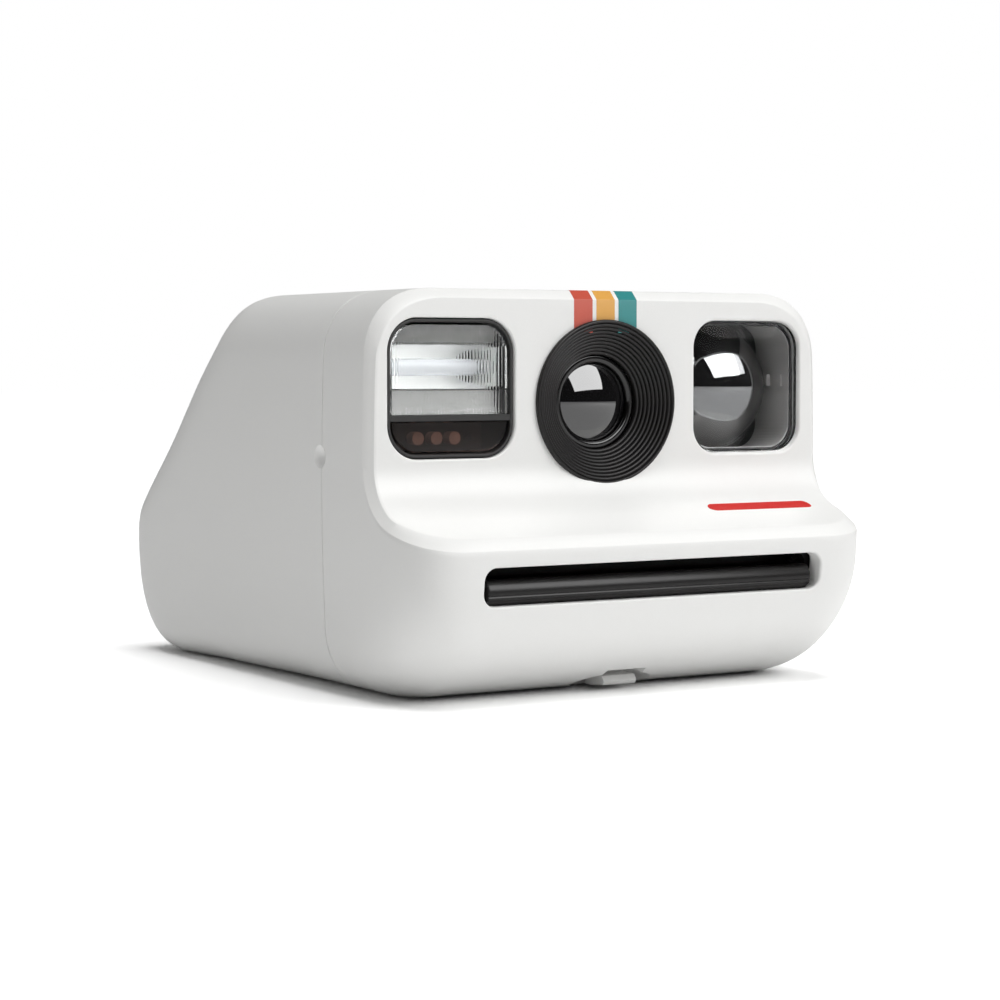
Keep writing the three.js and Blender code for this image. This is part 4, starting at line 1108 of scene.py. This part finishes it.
# The hood is a square tube with round corners, whose back wall has the opening to the eye's duct.
HOOD_FRONT = -35.4
HOOD_BACK = -24.0
MOUTH_Z = 46.4
hood_outline = rounded_outline(10.1, 10.1, 4)
hood_place = facing_front(WINDOW_X, WINDOW_Z, HOOD_FRONT)
deep = HOOD_BACK - HOOD_FRONT
hood = put("finder_hood", closed_mesh("finder_hood", stack(hood_outline, [
    (-deep - 1, 0), (-0.15, 0), (-0.05, -0.05), (0, -0.15), (-0.05, -0.25), (-0.15, -0.3), (-deep, -0.3),
    (-deep, -3.6), (-deep - 1, -3.6)], hood_place), ends=False, wrap_rows=True))
finish_piece(hood, inner_black, "camera_body", "inner_black", (), 40)
# A pale grey sheet on the tunnel's right and lower walls, with two small blocks: painted light where light
# falls in.
PAINTED_LIGHT_REACH = (-2.3, 0.95)
PAINTED_LIGHT_DEPTHS = (-8.9, -0.3)
PAINTED_LIGHT_SHARES = (0.967, 0.952)
lean = np.arctan2(hood_outline[:, 1], hood_outline[:, 0])
kept_points = hood_outline[(lean > PAINTED_LIGHT_REACH[0]) & (lean < PAINTED_LIGHT_REACH[1])]
kept_points = kept_points[np.argsort(np.arctan2(kept_points[:, 1], kept_points[:, 0]))]
outer, inner = kept_points * PAINTED_LIGHT_SHARES[0], kept_points * PAINTED_LIGHT_SHARES[1]
strips = [np.array([outer[i], outer[i + 1], inner[i + 1], inner[i]]) for i in range(len(outer) - 1)]
boss = box_outline(8.9, 9.68, 0.0, 1.9)
painted_light_sheet = put("finder_painted_light_sheet", joined("finder_painted_light_sheet", [
    *[closed_mesh("strip", stack(strip, [(depth, 0) for depth in PAINTED_LIGHT_DEPTHS], hood_place))
      for strip in strips],
    closed_mesh("inner_boss", stack(boss, [(-6.2, 0), (-5.2, 0)], hood_place)),
    closed_mesh("outer_boss", stack(boss + (0.3, 0), [(-2.6, 0), (-2.0, 0)], hood_place))]))
finish_piece(painted_light_sheet, pale_grey_painted_light, "camera_body", "inner_black", (), 40)
duct_outline = rounded_outline(6.4, 6.4, 3.0)
duct = closed_mesh("finder_duct", stack(duct_outline, [
    (0, 0), (0.25, -0.05), (0.3, -0.3), (0.25, -0.55), (0, -0.6), (-38, -0.6), (-38, 0)],
    facing_front(EYEPIECE_X, MOUTH_Z, HOOD_BACK)), ends=False, wrap_rows=True)
tunnel = put("finder_tunnel", duct)
finish_piece(tunnel, inner_black, "camera_body", "inner_black", ("viewfinder_tunnel",), 40)

# The lens: a dome with a thick rim that is ground flat where it meets the hood.
LENS_RIM = 9.9
HOOD_REACH = 9.75
DOME_RADIUS = 10.4
DOME_APEX = -34.5
dome_r = np.linspace(0.05, 9.6, 40)
dome_y = DOME_APEX + DOME_RADIUS - np.sqrt(DOME_RADIUS ** 2 - dome_r ** 2)
rim_y = float(dome_y[-1])
dome_profile = np.concatenate([
    np.stack([dome_r, dome_y], axis=1), arc((9.6, rim_y + 0.25), 0.3, -120, 0, 8),
    [(LENS_RIM, rim_y + 1.6), (0.05, rim_y + 1.6)]])
finder_lens = put("finder_lens_dome",
                  turned("finder_lens_dome", dome_profile, WINDOW_X, WINDOW_Z, 160, ends=True))
cut(finder_lens, [prism("lens_edge", rounded_outline(HOOD_REACH, HOOD_REACH, 3.7), -16, 4,
                        facing_front(WINDOW_X, WINDOW_Z, HOOD_FRONT))], "INTERSECT")
finder_lens.visible_shadow = False
finish_piece(finder_lens, finder_glass, "camera_body", "clear_plastic", ("viewfinder_lens",), 35)


# %% [markdown]
# ## The film slot
# Cards come out between two rollers and under a roll of black sheet, which keeps light out. The
# roll isn't quite round: its front has two fine creases, and each face between them takes its
# own highlight. A profile with two small notches carried along X gives all of it.

# %% Film shield
SHIELD_AXIS = (-46.5, 19.6)
SHIELD_MIDDLE = (-49.55, 17.05)
SHIELD_HALF_LENGTH = 29.4
SHIELD_HEIGHT = 1.9
SHIELD_DEEP = 1.7
CREASES = ((-52, 9), (-18, 8))
CREASE_DEPTH = 0.22
lean = np.linspace(-180, 180, 145)[:-1]
notch = sum(np.exp(-((lean - at) / (width / 2)) ** 2) for at, width in CREASES)
radial = 1 - CREASE_DEPTH / SHIELD_DEEP * notch
lean = np.radians(lean)
roll = np.stack([SHIELD_MIDDLE[0] - SHIELD_DEEP * radial * np.cos(lean),
                 SHIELD_MIDDLE[1] + SHIELD_HEIGHT * radial * np.sin(lean)], axis=1)
END_SOFT = 0.25


def soft_bar(name, outline, centre, half_length, soft):
    """A bar along X whose ends are rounded: its section shrinks towards the centre at each end."""
    turn = np.linspace(0, np.pi / 2, 5)
    steps = [(-half_length + soft - soft * math.sin(a), soft - soft * math.cos(a)) for a in turn[::-1]]
    steps += [(half_length - soft + soft * math.sin(a), soft - soft * math.cos(a)) for a in turn]
    return closed_mesh(name, [np.column_stack([np.full(len(outline), x), centre + (outline - centre)
                                               * (1 - inset / 1.8)]) for x, inset in steps])


shield_roll = soft_bar("shield_roll", roll, np.array(SHIELD_MIDDLE), SHIELD_HALF_LENGTH, END_SOFT)
arms = []
for side in (-1, 1):
    arm = np.array([(-50.0, 18.2), (-48.2, 18.9), (-46.2, 20.1), (-46.8, 19.1), (-48.6, 17.4)], float)
    x = side * (SHIELD_HALF_LENGTH - 0.5)
    arms.append(prism("shield_arm", arm, min(x, x - side), max(x, x - side), along_x))
    arms.append(prism("shield_pivot", circle_outline(0.42, 20) + SHIELD_AXIS,
                      min(x, x + side * 1.2), max(x, x + side * 1.2), along_x))
shield = put("film_shield_roll", joined("film_shield_roll", [shield_roll, *arms]))
finish_piece(shield, black_sheet, "shield", "black_sheet", ("film_shield",), 30)


# %% [markdown]
# ## Buttons
# The shutter button is a dished disc that a fingertip finds without looking. The dish is a
# shallow bowl turned about the button's own axis, and a wider foot keeps each in its hole.

# %% Buttons
def capped(name, profile, place, count=96):
    """A profile of (radius, depth) spun about the depth axis of a placing function."""
    turn = np.arange(count) / count * 2 * np.pi
    rows = [place(radius * np.cos(turn), radius * np.sin(turn), np.full(count, float(depth)))
            for radius, depth in profile]
    return closed_mesh(name, rows)


def button_profile(radius, dish, soft, deep, foot):
    """A dished top, a round edge, a straight side, and a wider foot that keeps it in its hole."""
    flat = radius - soft
    bowl = [(r, -dish * (1 - (r / flat) ** 2)) for r in np.linspace(0.05, flat, 14)]
    edge = [(flat + soft * math.sin(a), -soft + soft * math.cos(a))
            for a in np.linspace(0.2, math.pi / 2, 6)]
    return [*bowl, *edge, (radius, -deep), (foot, -deep - 0.05), (foot, -deep - 0.6),
            (0.05, -deep - 0.6)]


on_top = {button: facing_up(at[0], at[1], high(button)[2])
          for button, at in (("shutter_button", SHUTTER), ("flash_button", FLASH_BUTTON))}
BUTTONS = (
    ("shutter", (5.5, 0.45, 0.5, 2.4, 6.05), on_top["shutter_button"], red_abs, "red_abs"),
    ("flash", (2.4, 0.15, 0.3, 2.0, 3.05), on_top["flash_button"], white_abs, "shell_abs"),
    ("power", (2.6, 0.15, 0.3, 2.4, 3.05), on_slope(POWER_X, SLOPE_Z), white_abs, "shell_abs"),
)
for button, form, where, plastic, slot in BUTTONS:
    name = f"{button}_button_dished"
    finish_piece(put(name, capped(name, button_profile(*form), where)), plastic, f"{button}_key", slot,
                 (f"{button}_button",), 40)

# %% [markdown]
# ## Eyepiece and counter
# Both are set in the sloping back. The eyepiece is a rounded tube of soft black plastic, because
# an eye comes close to it. The counter's pane is smoked, so the display behind it stays dark.

# %% Eyepiece and counter
eyepiece_place = on_slope(EYEPIECE_X, SLOPE_Z)
eyepiece_outline = rounded_outline(6.6, 6.0, 1.9)
eyepiece = put("eyepiece_surround", closed_mesh("eyepiece_surround", stack(eyepiece_outline, [
    (-2.3, 0), (-0.2, 0), (0.02, -0.1), (0.1, -0.3), (0.06, -0.6), (-0.5, -1.4), (-1.2, -2.1),
    (-2.3, -2.15)],
    eyepiece_place), ends=False, wrap_rows=True))
finish_piece(eyepiece, black_abs, "camera_body", "black_abs", ("eyepiece_frame",), 50)
counter = put("counter_pane", pocket("counter_pane", rounded_outline(5.0, 2.5, 0.9),
              [(-1.4, 0), (-0.22, 0), (-0.1, -0.06), (-0.05, -0.2)], on_slope(0, SLOPE_Z)))
counter.visible_shadow = False
finish_piece(counter, smoked_acrylic, "camera_body", "smoked_plastic", ("counter_window",), 30)

# %% [markdown]
# ## Everything inside and behind
# The parts that are the right shape already keep it, and most only take the finish of what they are made of:
# nylon gears, a green board, a foil sleeved cell. The steel rollers and the sensor board are made dark
# instead: painted shade in the slot and behind the smoked plate.

# %% Finishes for the frame's own parts
KEPT = {
    white_abs: ["film_door", "door_latch"],
    black_abs: ["flash_electrode_left", "flash_electrode_right", "eject_motor"],
    # The sensor board is matt black as painted shade behind the smoked plate; the other parts here are black
    # parts.
    inner_black: ["sensor_board", "slot_liner", "shutter_housing", "film_chamber",
                  "light_cone", "shutter_blade"],
    lens_glass: ["rear_lens"],
    clear_acrylic: ["eyepiece_lens"],
    epoxy_tinted: ["light_sensor", "distance_sensor", "flash_sensor"],
    silvered: ["taking_mirror"],
    # The rollers take a dark steel colour: painted shade in the slot.
    painted_shade_steel: ["upper_roller", "lower_roller"],
    turned_steel: ["roller_bracket_left", "roller_bracket_right", "pick_arm", "door_hinge_pin",
                   "usb_socket", *[f"chamber_screw_{number}" for number in (1, 2, 3, 4)]],
    nylon: ["upper_roller_gear", "lower_roller_gear", "idler_gear", "motor_pinion"],
    foam: ["door_light_seal"],
    board: ["main_board", "counter_display"],
    foil: ["battery", "flash_capacitor"],
}
for material, names in KEPT.items():
    for name in names:
        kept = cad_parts[name]
        kept.data.materials.clear()
        kept.data.materials.append(material)
print("finished", sum(len(names) for names in KEPT.values()), "of the frame's parts")

# %% [markdown]
# ## The shells' finish
# The shells come last, once every opening is cut, because smoothing reads the edges that the cuts
# made. Below 24 degrees an edge is part of a curve, and above it a crease.

# %% Shell finish
for skin, name in ((front_shell, "front_shell"), (rear_shell, "rear_shell")):
    finish_piece(skin, white_abs, "camera_body", "shell_abs", (name,), 24)
